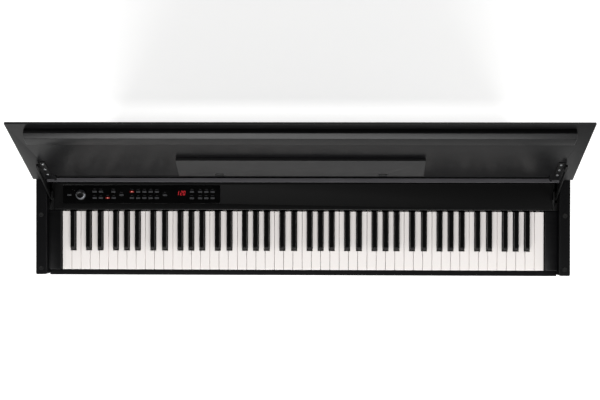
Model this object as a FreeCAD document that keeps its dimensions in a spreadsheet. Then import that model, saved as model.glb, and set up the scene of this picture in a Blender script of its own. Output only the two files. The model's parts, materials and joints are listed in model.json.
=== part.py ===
"""Slab-sided digital piano on its stand: 88 keys, hinged lid standing open, three pedals.

X runs along the keyboard, bass to treble. The player sits at -Y. Z is up from the floor.
Sizes are in millimetres. The origin is on the floor, under the middle of the body.
Most places are given as a distance back from the front edge of the side panels, through
front(), and as a height above the top of the side panels, through top().
"""
import FreeCAD, Part
import os

import Sketcher

SIZES = (
    # body and stand
    ("body_width", 1346), ("body_depth", 374), ("side_top", 756), ("side_thick", 27),
    ("side_round", 4), ("side_edge", 2), ("fit_gap", 0.5),
    ("foot_height", 6), ("foot_radius", 11), ("foot_inset", 40),
    ("bed_bottom", -112), ("bed_thick", 15), ("rear_thick", 6), ("rear_inset", 2),
    ("slip_thick", 14), ("slip_front", -3), ("slip_top", -33),
    ("block_gap", 2), ("block_top", -20), ("block_length", 151),
    # lid and hinge
    ("lid_length", 252), ("lid_thick", 14), ("lid_gap", 1.5), ("lid_open", 118.5),
    ("lid_front", -5), ("lid_edge", 5.5), ("lid_bevel", 22), ("hinge_gap", 1.2),
    ("hinge_groove", 3.2),
    ("knuckle_radius", 2.8), ("knuckle_length", 40), ("knuckle_pairs", 15),
    ("knuckle_play", 0.3),
    ("pin_radius", 1.2), ("pin_play", 0.06), ("leaf_thick", 0.8),
    ("rebate_width", 23), ("rebate_depth", 8), ("rebate_inset", 32),
    ("buffer_radius", 6), ("buffer_high", 1.2), ("buffer_front", 16.5), ("buffer_share", 0.6),
    # rail along the inside of the lid
    ("rail_set", 14), ("rail_depth", 21), ("rail_height", 37.4), ("rail_inset", 13),
    ("rail_slope", 11.3), ("rail_shoulder", 12),
    # music rest
    ("rest_width", 600), ("rest_height", 68), ("rest_thick", 8), ("rest_foot", 40),
    ("rest_lean", 4.7), ("rest_gap", 1), ("rest_bead", 4), ("rest_pin", 1.5),
    ("rest_hinge_place", 200), ("rest_hinge_width", 20), ("rest_eye", 3),
    ("rest_pin_reach", 15),
    # lid stays
    ("bracket_low", 22), ("bracket_high", 87), ("bracket_width", 17), ("bracket_inset", 7),
    ("bracket_thick", 2), ("bracket_ear", 14), ("ear_low", 66),
    ("stay_foot", 80), ("stay_off", 8), ("stay_length", 141), ("stay_width", 11),
    ("stay_thick", 3), ("stay_space", 0.6), ("stay_lean", 4.2), ("stay_pin", 2.5),
    ("screw_radius", 3.4), ("screw_head", 1.2), ("screw_margin", 40), ("strip_screw_inset", 22),
    # control panel
    ("panel_key_gap", 3.5), ("panel_lid_gap", 20), ("panel_top", -18), ("panel_thick", 3),
    ("panel_skirt", 16), ("panel_inset", 14), ("panel_round", 2.2), ("panel_rim", 8),
    ("fascia_inset", 37.5), ("fascia_width", 400), ("fascia_margin", 6.4),
    ("fascia_depth", 45.8), ("fascia_thick", 2), ("fascia_proud", 0.5),
    ("strip_lid_gap", 18), ("strip_width", 10.4), ("strip_top", -1.5), ("strip_thick", 10),
    ("strip_gap", 1), ("batten_reach", 48), ("batten_step", 6), ("batten_under", 8),
    ("guide_slot_length", 48), ("guide_slot_width", 6),
    ("guide_post_place", 42), ("guide_post_length", 22), ("guide_post_high", 8),
    ("button_length", 10.5), ("button_depth", 4.5), ("button_proud", 1.3),
    ("button_play", 0.3), ("button_round", 0.5), ("button_stem", 5.4),
    ("button_pitch", 15.9), ("button_row_rear", 16), ("button_row_mid", 24.4),
    ("button_row_front", 32), ("effect_place", 80.6), ("sound_place", 175.7),
    ("recorder_place", 349.3), ("knob_place", 46), ("knob_row", 24), ("knob_radius", 13),
    ("knob_high", 11), ("knob_lift", 0.6), ("knob_skirt", 3), ("knob_step", 1.6),
    ("knob_taper", 0.8), ("knob_round", 1.2), ("knob_shaft", 3),
    ("power_place", 16),
    ("display_place", 290), ("display_width", 27), ("display_depth", 16), ("display_row", 19),
    ("display_thick", 3.3), ("display_gap", 0.2),
    ("board_drop", 6.9), ("board_thick", 1.6), ("board_side", 10), ("board_end", 5),
    # keys
    ("key_pitch", 23.558), ("key_space", 1.0), ("key_front", 11.5), ("key_rear", 160),
    ("key_top", -28), ("key_high", 22), ("notch_front", 59.6), ("key_edge", 0.8),
    ("black_front", 61), ("black_length", 99), ("black_high", 12), ("black_slope", 7),
    ("black_gap", 1.1), ("tail_high", 10), ("tail_reach", 65), ("pivot_reach", 60),
    ("pivot_drop", 43), ("pivot_radius", 2), ("pivot_play", 0.06),
    ("frame_drop", 66), ("frame_thick", 2), ("frame_front", 20), ("frame_reach", 76),
    ("frame_cheek", 14), ("frame_foot", 16), ("cheek_rise", 8),
    ("felt_high", 6), ("felt_width", 22), ("felt_front", 30), ("felt_rear", 90),
    # widths of the sharps and tails, and the sharps' places off the joints between the
    # white keys, all as shares of the key pitch
    ("black_width_share", 0.552), ("black_crown_share", 0.4245), ("tail_share", 0.382),
    ("black_c", -0.136), ("black_d", 0.136), ("black_f", -0.187), ("black_g", 0),
    ("black_a", 0.187),
    # pedals
    ("pedal_pitch", 75), ("pedal_width", 20), ("pedal_spoon", 15), ("pedal_thick", 6),
    ("pedal_tip", 108), ("pedal_tail", 285), ("pedal_pivot", 270), ("pedal_high", 88),
    ("axle_radius", 4), ("axle_play", 0.06), ("hub_wall", 3.5),
    ("case_half", 150), ("case_front", 215), ("case_rear", 300), ("case_low", 58),
    ("case_high", 125), ("case_wall", 3), ("case_slot", 24), ("slot_under", 8), ("slot_over", 2),
    ("web_thick", 4), ("web_half", 9), ("web_rise", 10),
    ("spring_front", 228), ("spring_rear", 260), ("spring_thick", 1.2), ("spring_width", 14),
    ("spring_gap", 0.3),
    ("rail_board_low", 50), ("rail_board_high", 170), ("rail_board_thick", 22),
    ("support_radius", 16), ("support_high", 12), ("support_screw", 5),
    ("modesty_low", 190), ("modesty_high", 560), ("modesty_thick", 15), ("modesty_rear", 350),
    # inside
    ("speaker_place", 430), ("speaker_row", 302), ("speaker_radius", 50), ("speaker_lap", 4),
    ("speaker_rim", 3), ("cone_step", 5), ("cone_high", 24),
    ("magnet_radius", 30), ("magnet_high", 16), ("grille_thick", 1.5), ("grille_rim", 6),
    ("circuit_left", 90), ("circuit_right", 330), ("circuit_front", 255),
    ("circuit_rear", 345), ("spacer_high", 8), ("spacer_radius", 3), ("spacer_inset", 8),
    ("sink_left", 30), ("sink_width", 50), ("sink_front", 20), ("sink_depth", 40),
    ("sink_high", 20), ("jack_radius", 3.2), ("jack_space", 24), ("jack_length", 20),
    ("jack_case_inset", 46), ("jack_case_width", 60), ("jack_case_depth", 56),
    ("jack_case_high", 26), ("jack_case_set", 10),
    ("socket_box_left", 190), ("socket_box_width", 124), ("socket_box_depth", 45),
    ("socket_box_set", 4), ("socket_pitch", 30), ("inlet_radius", 2.8),
)

doc = FreeCAD.newDocument("DigitalPiano")
sheet = doc.addObject("Spreadsheet::Sheet", "dims")
for row, (alias, number) in enumerate(SIZES, start=1):
    sheet.set(f"A{row}", alias)
    sheet.set(f"B{row}", str(number))
    sheet.setAlias(f"B{row}", alias)
doc.recompute()


class Size:
    """A length with its value and the sheet formula that gives it."""

    def __init__(self, value, formula):
        self.value = value
        self.formula = formula

    def __add__(self, other):
        other = as_size(other)
        return Size(self.value + other.value, f"({self.formula} + {other.formula})")

    def __sub__(self, other):
        other = as_size(other)
        return Size(self.value - other.value, f"({self.formula} - {other.formula})")

    def __mul__(self, other):
        other = as_size(other)
        return Size(self.value * other.value, f"({self.formula} * {other.formula})")

    def __truediv__(self, other):
        other = as_size(other)
        return Size(self.value / other.value, f"({self.formula} / {other.formula})")

    def __neg__(self):
        return Size(-self.value, f"(-1 * {self.formula})")


def as_size(number):
    return number if isinstance(number, Size) else Size(float(number), f"({number})")


class Sheet:
    """Gives each size of the sheet by its name."""

    def __getattr__(self, alias):
        return Size(float(sheet.get(alias)), f"dims.{alias}")


D = Sheet()
HALF = D.body_width / 2
INNER = HALF - D.side_thick
DECK = D.lid_gap + D.lid_thick
BED_TOP = D.bed_bottom + D.bed_thick
PANEL_FRONT = D.key_rear + D.panel_key_gap
PANEL_REAR = D.lid_length - D.panel_lid_gap
PANEL_HALF = INNER - D.panel_inset
STRIP_FRONT = D.lid_length - D.strip_lid_gap
REBATE_HALF = INNER - D.rebate_inset
BRACKET_OUTER = INNER - D.bracket_inset
BRACKET_INNER = BRACKET_OUTER - D.bracket_width
PIVOT_PLACE = D.key_rear + D.pivot_reach
COVER_SCREWS = (-0.46, -0.23, 0, 0.23, 0.46)
BACK_SCREWS = (-0.44, 0.44)
BRACKET_SCREWS = (0.09, 0.47, 0.85)
NODES = []


def front(distance):
    """Y of a place this far behind the front edge of the side panels."""
    return as_size(distance) - D.body_depth / 2


def top(rise):
    """Z of a place this far above the top of the side panels."""
    return as_size(rise) + D.side_top


def bind(thing, **formulas):
    for name, value in formulas.items():
        thing.setExpression(name.replace("__", "."), as_size(value).formula)


def node(thing, label):
    thing.Label = label
    NODES.append(thing)
    return thing


def block(name, x, y, z):
    """A box between two X, two Y and two Z places."""
    box = doc.addObject("Part::Box", name)
    bind(box, Length=as_size(x[1]) - x[0], Width=as_size(y[1]) - y[0], Height=as_size(z[1]) - z[0])
    bind(box, Placement__Base__x=x[0], Placement__Base__y=y[0], Placement__Base__z=z[0])
    return box


def rod(name, axis, radius, centre, length):
    """A cylinder that starts at its centre point and runs along +X, +Y or +Z."""
    turn = {"x": ((0, 1, 0), 90), "y": ((1, 0, 0), -90), "z": ((0, 0, 1), 0)}[axis]
    cylinder = doc.addObject("Part::Cylinder", name)
    cylinder.Placement.Rotation = FreeCAD.Rotation(FreeCAD.Vector(*turn[0]), turn[1])
    bind(cylinder, Radius=radius, Height=length)
    bind(cylinder, Placement__Base__x=centre[0], Placement__Base__y=centre[1],
         Placement__Base__z=centre[2])
    return cylinder


def cut(name, base, tools):
    """The base with every tool taken away."""
    result = doc.addObject("Part::Cut", name)
    result.Base = base
    result.Tool = tools[0] if len(tools) == 1 else gather(name + "_tools", tools)
    return result


def gather(name, pieces):
    """Separate solids held as one group."""
    group = doc.addObject("Part::Compound", name)
    group.Links = pieces
    return group


def fuse(name, pieces):
    joined = doc.addObject("Part::MultiFuse", name)
    joined.Shapes = pieces
    joined.Refine = True
    return joined


def body(name):
    made = doc.addObject("PartDesign::Body", name)
    made.AllowCompound = True
    return made


def origin_part(owner, role):
    return next(item for item in owner.Origin.OriginFeatures if item.Role == role)


def outline(owner, name, role, loops, offset):
    """A sketch of closed outlines on an origin plane, moved along that plane's normal."""
    sketch = owner.newObject("Sketcher::SketchObject", name)
    sketch.AttachmentSupport = [(origin_part(owner, role), "")]
    sketch.MapMode = "FlatFace"
    bind(sketch, AttachmentOffset__Base__z=offset)
    for points in loops:
        first = sketch.GeometryCount
        corners = [(as_size(u), as_size(v)) for u, v in points]
        places = [FreeCAD.Vector(u.value, v.value, 0) for u, v in corners]
        count = len(corners)
        for index in range(count):
            sketch.addGeometry(Part.LineSegment(places[index], places[(index + 1) % count]))
        for index, corner in enumerate(corners):
            line = first + index
            before = first + (index - 1) % count
            sketch.addConstraint(Sketcher.Constraint("Coincident", before, 2, line, 1))
            for kind, place in zip(("DistanceX", "DistanceY"), corner):
                rule = Sketcher.Constraint(kind, -1, 1, line, 1, place.value)
                number = sketch.addConstraint(rule)
                sketch.setExpression(f"Constraints[{number}]", place.formula)
    return sketch


def discs(owner, name, role, circles, offset):
    """A sketch of circles, each given by its centre and radius."""
    sketch = owner.newObject("Sketcher::SketchObject", name)
    sketch.AttachmentSupport = [(origin_part(owner, role), "")]
    sketch.MapMode = "FlatFace"
    bind(sketch, AttachmentOffset__Base__z=offset)
    normal = FreeCAD.Vector(0, 0, 1)
    for u, v, radius in circles:
        u, v, radius = as_size(u), as_size(v), as_size(radius)
        ring = Part.Circle(FreeCAD.Vector(u.value, v.value, 0), normal, radius.value)
        index = sketch.addGeometry(ring)
        rules = (
            (Sketcher.Constraint("DistanceX", -1, 1, index, 3, u.value), u),
            (Sketcher.Constraint("DistanceY", -1, 1, index, 3, v.value), v),
            (Sketcher.Constraint("Radius", index, radius.value), radius),
        )
        for rule, place in rules:
            number = sketch.addConstraint(rule)
            sketch.setExpression(f"Constraints[{number}]", place.formula)
    return sketch


def pad(owner, sketch, length):
    feature = owner.newObject("PartDesign::Pad", sketch.Name + "_pad")
    feature.Profile = sketch
    bind(feature, Length=length)
    return feature


def pocket(owner, sketch, length, toward_normal=True):
    """Cuts the sketch through the body, along the sketch plane's normal or against it."""
    doc.recompute()
    before = owner.Shape.Volume
    feature = owner.newObject("PartDesign::Pocket", sketch.Name + "_cut")
    feature.Profile = sketch
    feature.Reversed = toward_normal
    bind(feature, Length=length)
    doc.recompute()
    if owner.Shape.Volume >= before:
        raise RuntimeError(f"{sketch.Name} cuts nothing")
    return feature


def prism(name, role, loops, start, stop):
    """A body made by padding closed outlines between two places on the plane's normal."""
    owner = body(name)
    pad(owner, outline(owner, name + "_outline", role, loops, start), as_size(stop) - start)
    return owner


def rectangle(left, right, low, high):
    return [(left, low), (right, low), (right, high), (left, high)]


def round_edges(owner, name, radius, wanted):
    """Rounds the edges of the body's tip whose middle point answers the test."""
    doc.recompute()
    tip = owner.Tip
    names = []
    for index, edge in enumerate(tip.Shape.Edges, start=1):
        if wanted(edge, edge.valueAt((edge.FirstParameter + edge.LastParameter) / 2)):
            names.append(f"Edge{index}")
    if not names:
        raise RuntimeError(f"{name} found no edge")
    feature = owner.newObject("PartDesign::Fillet", name)
    feature.Base = (tip, names)
    bind(feature, Radius=radius)
    owner.Tip = feature
    return feature


def repeat(owner, features, pitch, count):
    """Repeats features along X."""
    pattern = owner.newObject("PartDesign::LinearPattern", owner.Name + "_repeat")
    pattern.Originals = features
    pattern.Direction = (origin_part(owner, "X_Axis"), [""])
    pattern.Mode = "Spacing"
    bind(pattern, Offset=pitch, Occurrences=count)
    owner.Tip = pattern
    return pattern


def swing_open(thing):
    """Turns a lid piece, drawn with the lid closed, back to where the lid stands open."""
    y, z = front(D.lid_length).formula, top(DECK).formula
    turn = "rotation(vector(1; 0; 0); -dims.lid_open)"
    swung_y = f"({y} - ({y} * cos(dims.lid_open) + {z} * sin(dims.lid_open)))"
    swung_z = f"({z} - ({z} * cos(dims.lid_open) - {y} * sin(dims.lid_open)))"
    thing.setExpression("Placement", f"placement(vector(0; {swung_y}; {swung_z}); {turn})")
    return thing


def near(value, size):
    return abs(value - size.value) < 0.01


# ---------------------------------------------------------------- body shell

def side_panel(name, left, right):
    panel = prism(name, "XY_Plane",
                  [rectangle(left, right, front(0), front(D.body_depth))], D.foot_height, top(0))
    round_edges(panel, name + "_corners", D.side_round,
                lambda edge, mid: near(mid.y, front(0)) and edge.Length > D.side_top.value / 2)
    round_edges(panel, name + "_top_edge", D.side_edge,
                lambda edge, mid: near(mid.z, top(0)) and mid.y < front(10).value)
    return node(panel, name)


def rear_top_board():
    board = block("rear_board_blank", (-HALF, HALF),
                  (front(D.lid_length + D.hinge_gap), front(D.body_depth)), (top(0), top(DECK)))
    groove = rod("rear_board_groove", "x", D.hinge_groove,
                 (-HALF - 1, front(D.lid_length), top(DECK)), D.body_width + 2)
    return node(cut("rear_top_board_part", board, [groove]), "rear_top_board")


def rear_cover():
    plate = block("rear_cover_part", (-INNER, INNER),
                  (front(D.body_depth - D.rear_inset - D.rear_thick),
                   front(D.body_depth - D.rear_inset)),
                  (top(D.bed_bottom), top(0)))
    return node(plate, "rear_cover")


def keybed():
    bed = body("keybed_part")
    plan = rectangle(-INNER, INNER, front(D.slip_front + D.slip_thick),
                     front(D.body_depth - D.rear_inset - D.rear_thick))
    pad(bed, outline(bed, "keybed_plan", "XY_Plane", [plan], top(D.bed_bottom)), D.bed_thick)
    holes = [(side * D.speaker_place, front(D.speaker_row), D.speaker_radius - D.speaker_lap)
             for side in (Size(-1, "(-1)"), Size(1, "(1)"))]
    pocket(bed, discs(bed, "keybed_holes", "XY_Plane", holes, top(D.bed_bottom)), D.bed_thick)
    return node(bed, "keybed")


def key_slip():
    slip = prism("key_slip_part", "YZ_Plane",
                 [rectangle(front(D.slip_front), front(D.slip_front + D.slip_thick),
                            top(D.bed_bottom), top(D.slip_top))],
                 -INNER, INNER)
    round_edges(slip, "key_slip_round", D.side_edge,
                lambda edge, mid: near(mid.z, top(D.slip_top)) and edge.Length > D.key_pitch.value)
    return node(slip, "key_slip")


def key_blocks():
    y = (front(D.key_front), front(D.key_front + D.block_length))
    z = (top(BED_TOP), top(D.block_top))
    outer, inner = INNER - D.fit_gap, D.block_gap - KEYS_LEFT
    left = block("key_block_left", (-outer, -inner), y, z)
    right = block("key_block_right", (inner, outer), y, z)
    return node(gather("key_blocks_part", [left, right]), "key_blocks")


def feet():
    made = []
    for side in (-1, 1):
        for place in (D.foot_inset, D.body_depth - D.foot_inset):
            x = (HALF - D.side_thick / 2) * side
            made.append(rod("foot", "z", D.foot_radius, (x, front(place), 0), D.foot_height))
    return node(gather("floor_feet_part", made), "floor_feet")


def hinge_rail():
    """Batten under the rear top board, stepped down in front to carry the strip."""
    near_y, rear = front(STRIP_FRONT - D.strip_gap), front(D.lid_length + D.batten_reach)
    step_y = front(STRIP_FRONT + D.strip_width + D.batten_step)
    ledge = top(D.strip_top - D.strip_thick)
    step = [(near_y, ledge - D.batten_under), (rear, ledge - D.batten_under), (rear, top(0)),
            (step_y, top(0)), (step_y, ledge), (near_y, ledge)]
    return node(prism("hinge_rail_part", "YZ_Plane", [step], -INNER, INNER), "hinge_rail")


def hinge_strip():
    strip = prism("hinge_strip_part", "YZ_Plane",
                  [rectangle(front(STRIP_FRONT), front(STRIP_FRONT + D.strip_width),
                             top(D.strip_top - D.strip_thick), top(D.strip_top))],
                  -INNER + D.fit_gap, INNER - D.fit_gap)
    round_edges(strip, "hinge_strip_round", D.key_edge,
                lambda edge, mid: near(mid.z, top(D.strip_top)) and edge.Length > HALF.value)
    return node(strip, "hinge_strip")


def lid_buffers():
    made = []
    for side in (-1, 1):
        for place in (D.buffer_front, D.lid_length * D.buffer_share):
            x = (HALF - D.side_thick / 2) * side
            made.append(rod("buffer", "z", D.buffer_radius, (x, front(place), top(0)),
                            D.buffer_high))
    return node(gather("lid_buffers_part", made), "lid_buffers")


def body_screws():
    """Pan heads on the back, and the two screws that hold the strip."""
    made = []
    back = D.body_depth - D.rear_inset
    for share in COVER_SCREWS:
        for height in (D.bed_bottom + D.bed_thick / 2, -D.bed_thick):
            made.append(rod("cover_screw", "y", D.screw_radius,
                            (D.body_width * share, front(back), top(height)), D.screw_head))
    for share in BACK_SCREWS:
        for height in (D.modesty_low + D.screw_margin, D.modesty_high - D.screw_margin):
            made.append(rod("panel_screw", "y", D.screw_radius,
                            (D.body_width * share, front(D.modesty_rear), height), D.screw_head))
    for side in (-1, 1):
        made.append(rod("strip_screw", "z", D.screw_radius,
                        ((INNER - D.strip_screw_inset) * side, front(STRIP_FRONT + D.strip_width / 2),
                         top(D.strip_top)), D.screw_head / 3))
    return node(gather("body_screws_part", made), "body_screws")


# ---------------------------------------------------------------- lid and hinge

def lid_board():
    low, high = top(D.lid_gap), top(DECK)
    rear = front(D.lid_length - D.hinge_gap)
    profile = [(front(D.lid_front), low), (rear, low), (rear, high), (front(D.lid_bevel), high),
               (front(D.lid_front), low + D.lid_edge)]
    board = prism("lid_board_blank", "YZ_Plane", [profile], -HALF, HALF)
    rebate = block("lid_rebate", (-REBATE_HALF, REBATE_HALF),
                   (front(D.lid_length - D.rebate_width), front(D.lid_length)),
                   (low - 1, low + D.rebate_depth))
    groove = rod("lid_groove", "x", D.hinge_groove,
                 (-HALF - 1, front(D.lid_length), top(DECK)), D.body_width + 2)
    return node(swing_open(cut("lid_board_part", board, [rebate, groove])), "lid_board")


def lid_front_rail():
    base = top(D.lid_gap)
    shoulder = D.rail_set + D.rail_slope
    section = [(front(D.rail_set), base), (front(D.rail_set), base - D.rail_shoulder),
               (front(shoulder), base - D.rail_depth),
               (front(D.rail_set + D.rail_height), base - D.rail_depth),
               (front(D.rail_set + D.rail_height), base)]
    half = INNER - D.rail_inset
    rail = prism("lid_front_rail_part", "YZ_Plane", [section], -half, half)
    return node(swing_open(rail), "lid_front_rail")


def hinge_leaf(name, y, z_low, first, bore):
    """One leaf of the long hinge, with every second knuckle on the pin's line."""
    start = -D.knuckle_length * D.knuckle_pairs + D.knuckle_length * first + D.knuckle_play
    length = D.knuckle_length - D.knuckle_play * 2
    axis_y, axis_z = front(D.lid_length), top(DECK)
    leaf_top = axis_z - D.knuckle_radius - D.knuckle_play
    leaf = body(name + "_part")
    plan = rectangle(-REBATE_HALF, REBATE_HALF, y[0], y[1])
    pad(leaf, outline(leaf, name + "_leaf", "XY_Plane", [plan], z_low), leaf_top - z_low)
    web = rectangle(y[0], y[1], leaf_top - D.knuckle_play, axis_z)
    features = [
        pad(leaf, outline(leaf, name + "_web", "YZ_Plane", [web], start), length),
        pad(leaf, discs(leaf, name + "_knuckle", "YZ_Plane",
                        [(axis_y, axis_z, D.knuckle_radius)], start), length)]
    repeat(leaf, features, D.knuckle_length * 2, D.knuckle_pairs)
    pocket(leaf, discs(leaf, name + "_bore", "YZ_Plane", [(axis_y, axis_z, bore)], -HALF),
           D.body_width)
    return leaf


def hinge_fixed_leaf():
    rear = D.lid_length + D.hinge_gap
    leaf = hinge_leaf("hinge_fixed_leaf", (front(rear - D.leaf_thick), front(rear)),
                      top(D.lid_gap), 0, D.pin_radius)
    reach = D.knuckle_length * D.knuckle_pairs
    pin = rod("hinge_pin", "x", D.pin_radius, (-reach, front(D.lid_length), top(DECK)),
              reach * 2)
    return node(fuse("hinge_fixed_leaf_joined", [leaf, pin]), "hinge_fixed_leaf")


def hinge_lid_leaf():
    edge = D.lid_length - D.hinge_gap
    leaf = hinge_leaf("hinge_lid_leaf", (front(edge), front(edge + D.leaf_thick)),
                      top(D.lid_gap + D.rebate_depth), 1, D.pin_radius + D.pin_play)
    return node(swing_open(leaf), "hinge_lid_leaf")


def stay_brackets():
    made = []
    base = top(D.lid_gap)
    axis = (front(D.lid_length - D.stay_foot), base - D.stay_off)
    for side in (-1, 1):
        inner, outer = BRACKET_INNER * side, BRACKET_OUTER * side
        ear_inner = (BRACKET_OUTER - D.bracket_thick) * side
        y = (front(D.lid_length - D.bracket_high), front(D.lid_length - D.bracket_low))
        plate = block("bracket_plate", sorted_pair(inner, outer), y,
                      (base - D.bracket_thick, base))
        ear = block("bracket_ear", sorted_pair(ear_inner, outer),
                    (y[0], front(D.lid_length - D.ear_low)), (base - D.bracket_ear, base))
        reach = D.stay_thick + D.stay_space * 2
        pin_ends = sorted_pair(ear_inner, (BRACKET_OUTER + reach) * side)
        pin = rod("bracket_pin", "x", D.stay_pin, (pin_ends[0], *axis),
                  pin_ends[1] - pin_ends[0])
        made.append(fuse("bracket", [plate, ear, pin]))
    return node(swing_open(gather("stay_brackets_part", made)), "stay_brackets")


def sorted_pair(one, other):
    return (one, other) if one.value < other.value else (other, one)


def lid_screws():
    made = []
    base = top(D.lid_gap) - D.bracket_thick
    middle = (BRACKET_INNER + BRACKET_OUTER - D.bracket_thick) / 2
    for side in (-1, 1):
        for share in BRACKET_SCREWS:
            rise = D.bracket_low + (D.bracket_high - D.bracket_low) * share
            made.append(rod("lid_screw", "z", D.screw_radius,
                            (middle * side, front(D.lid_length - rise),
                             base - D.screw_head / 2), D.screw_head / 2))
    return node(swing_open(gather("lid_screws_part", made)), "lid_screws")


def stay_arm(name, side):
    """A flat strip that hangs on the bracket's pin and passes down through the guide."""
    axis = (front(D.lid_length - D.stay_foot), top(D.lid_gap) - D.stay_off)
    near_x, far_x = sorted_pair((BRACKET_OUTER + D.stay_space) * side,
                                (BRACKET_OUTER + D.stay_space + D.stay_thick) * side)
    half = D.stay_width / 2
    strip = block("stay_strip", (near_x, far_x), (0, D.stay_length), (-half, half))
    ends = [rod("stay_end", "x", half, (near_x, place, 0), D.stay_thick)
            for place in (0, D.stay_length)]
    hole = rod("stay_hole", "x", D.stay_pin + D.pin_play, (near_x - 1, 0, 0), D.stay_thick + 2)
    arm = cut(name + "_flat", fuse("stay_blank", [strip, *ends]), [hole])
    lean = "rotation(vector(1; 0; 0); -dims.stay_lean)"
    place = f"vector(0; {axis[0].formula}; {axis[1].formula})"
    arm.setExpression("Placement", f"placement({place}; {lean})")
    return node(swing_open(gather(name + "_part", [arm])), name)


def rest_axis():
    """The music rest's hinge line, in the middle of its lower edge, with the lid closed."""
    place = D.lid_length - D.rest_foot - D.rest_bead
    return front(place), top(D.lid_gap) - D.rest_gap - D.rest_lean - D.rest_thick / 2


def rest_hinge_boxes(grow):
    """The two places along the music rest that its hinge blocks take up."""
    half = D.rest_hinge_width / 2 + grow
    return [(D.rest_hinge_place * side - half, D.rest_hinge_place * side + half)
            for side in (-1, 1)]


def music_rest():
    base = top(D.lid_gap)
    low = front(D.lid_length - D.rest_foot)
    high = front(D.lid_length - D.rest_foot - D.rest_height)
    inner_low, inner_high = base - D.rest_gap - D.rest_lean, base - D.rest_gap
    section = [(low, inner_low), (low, inner_low - D.rest_thick),
               (high, inner_high - D.rest_thick), (high, inner_high)]
    half = D.rest_width / 2
    flap = prism("music_rest_blank", "YZ_Plane", [section], -half, half)
    round_edges(flap, "music_rest_bead", D.rest_bead - 0.5,
                lambda edge, mid: near(mid.y, low) and edge.Length > half.value)
    axis_y, axis_z = rest_axis()
    clear = D.rest_thick
    notches = [block("rest_notch", x, (axis_y - clear, low + 1), (inner_low - clear * 2, base + 1))
               for x in rest_hinge_boxes(D.fit_gap)]
    bore = rod("rest_bore", "x", D.rest_pin + D.pin_play, (-half - 1, axis_y, axis_z),
               D.rest_width + 2)
    return node(swing_open(cut("music_rest_part", flap, [*notches, bore])), "music_rest")


def music_rest_hinges():
    base = top(D.lid_gap)
    axis_y, axis_z = rest_axis()
    made = []
    for x in rest_hinge_boxes(0):
        foot = block("rest_hinge_foot", x, (axis_y - D.rest_eye, axis_y + D.rest_eye),
                     (axis_z, base))
        eye = rod("rest_hinge_eye", "x", D.rest_eye, (x[0], axis_y, axis_z), x[1] - x[0])
        pin = rod("rest_hinge_pin", "x", D.rest_pin, (x[0] - D.rest_pin_reach, axis_y, axis_z),
                  x[1] - x[0] + D.rest_pin_reach * 2)
        made.append(fuse("rest_hinge", [foot, eye, pin]))
    return node(swing_open(gather("music_rest_hinges_part", made)), "music_rest_hinges")


def stay_guides():
    """Plates over the gap beside the control panel, each with a slot and a front post."""
    made = []
    low, high = top(D.panel_top - D.panel_thick), top(D.panel_top)
    slot_middle = BRACKET_OUTER + D.stay_space + D.stay_thick / 2
    for side in (-1, 1):
        x = sorted_pair((PANEL_HALF + D.fit_gap) * side, (INNER - D.fit_gap) * side)
        plate = block("guide_plate", x, (front(PANEL_FRONT + D.fit_gap), front(PANEL_REAR)),
                      (low, high))
        half = D.guide_slot_width / 2
        slot_x = (slot_middle * side - half, slot_middle * side + half)
        slot = block("guide_slot", slot_x,
                     (front(PANEL_REAR - D.guide_slot_length), front(PANEL_REAR + 1)),
                     (low - 1, high + 1))
        post_x = sorted_pair((PANEL_HALF + D.fit_gap) * side,
                             (slot_middle - half - D.fit_gap) * side)
        post_front = PANEL_REAR - D.guide_post_place
        post = block("guide_post", post_x, (front(post_front), front(post_front + D.guide_post_length)),
                     (low, high + D.guide_post_high))
        made.append(fuse("guide", [cut("guide_slotted", plate, [slot]), post]))
    return node(gather("stay_guides_part", made), "stay_guides")


# ---------------------------------------------------------------- control panel

FASCIA_TOP = D.panel_top + D.fascia_proud
FASCIA_LOW = FASCIA_TOP - D.fascia_thick


def fascia_x(place):
    return D.fascia_inset - INNER + place


def fascia_y(row):
    return front(PANEL_REAR - D.fascia_margin - row)


# Steps along the fascia from each group's first button, and the row.
BUTTONS = {
    "effect": ((0, "rear"), (1, "rear"), (3, "rear"), (0, "front"), (1, "front"),
               (2.1, "front"), (3.06, "front"), (4.3, "mid")),
    "sound": (*((column, row) for column in range(5) for row in ("rear", "front")),
              (5.29, "mid")),
    "recorder": tuple((column, row) for column in (-1.31, 0, 1, 2) for row in ("rear", "front")),
}


def button_places():
    """Middle of every rectangular button, by group: distance along the fascia and its row."""
    rows = {"rear": D.button_row_rear, "mid": D.button_row_mid, "front": D.button_row_front}
    starts = {"effect": D.effect_place, "sound": D.sound_place, "recorder": D.recorder_place}
    return {f"{group}_buttons": [(starts[group] + D.button_pitch * step, rows[row])
                                 for step, row in steps]
            for group, steps in BUTTONS.items()}


def button_outline(place, row, grow):
    half_length, half_depth = D.button_length / 2 + grow, D.button_depth / 2 + grow
    x, y = fascia_x(place), fascia_y(row)
    return rectangle(x - half_length, x + half_length, y - half_depth, y + half_depth)


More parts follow.
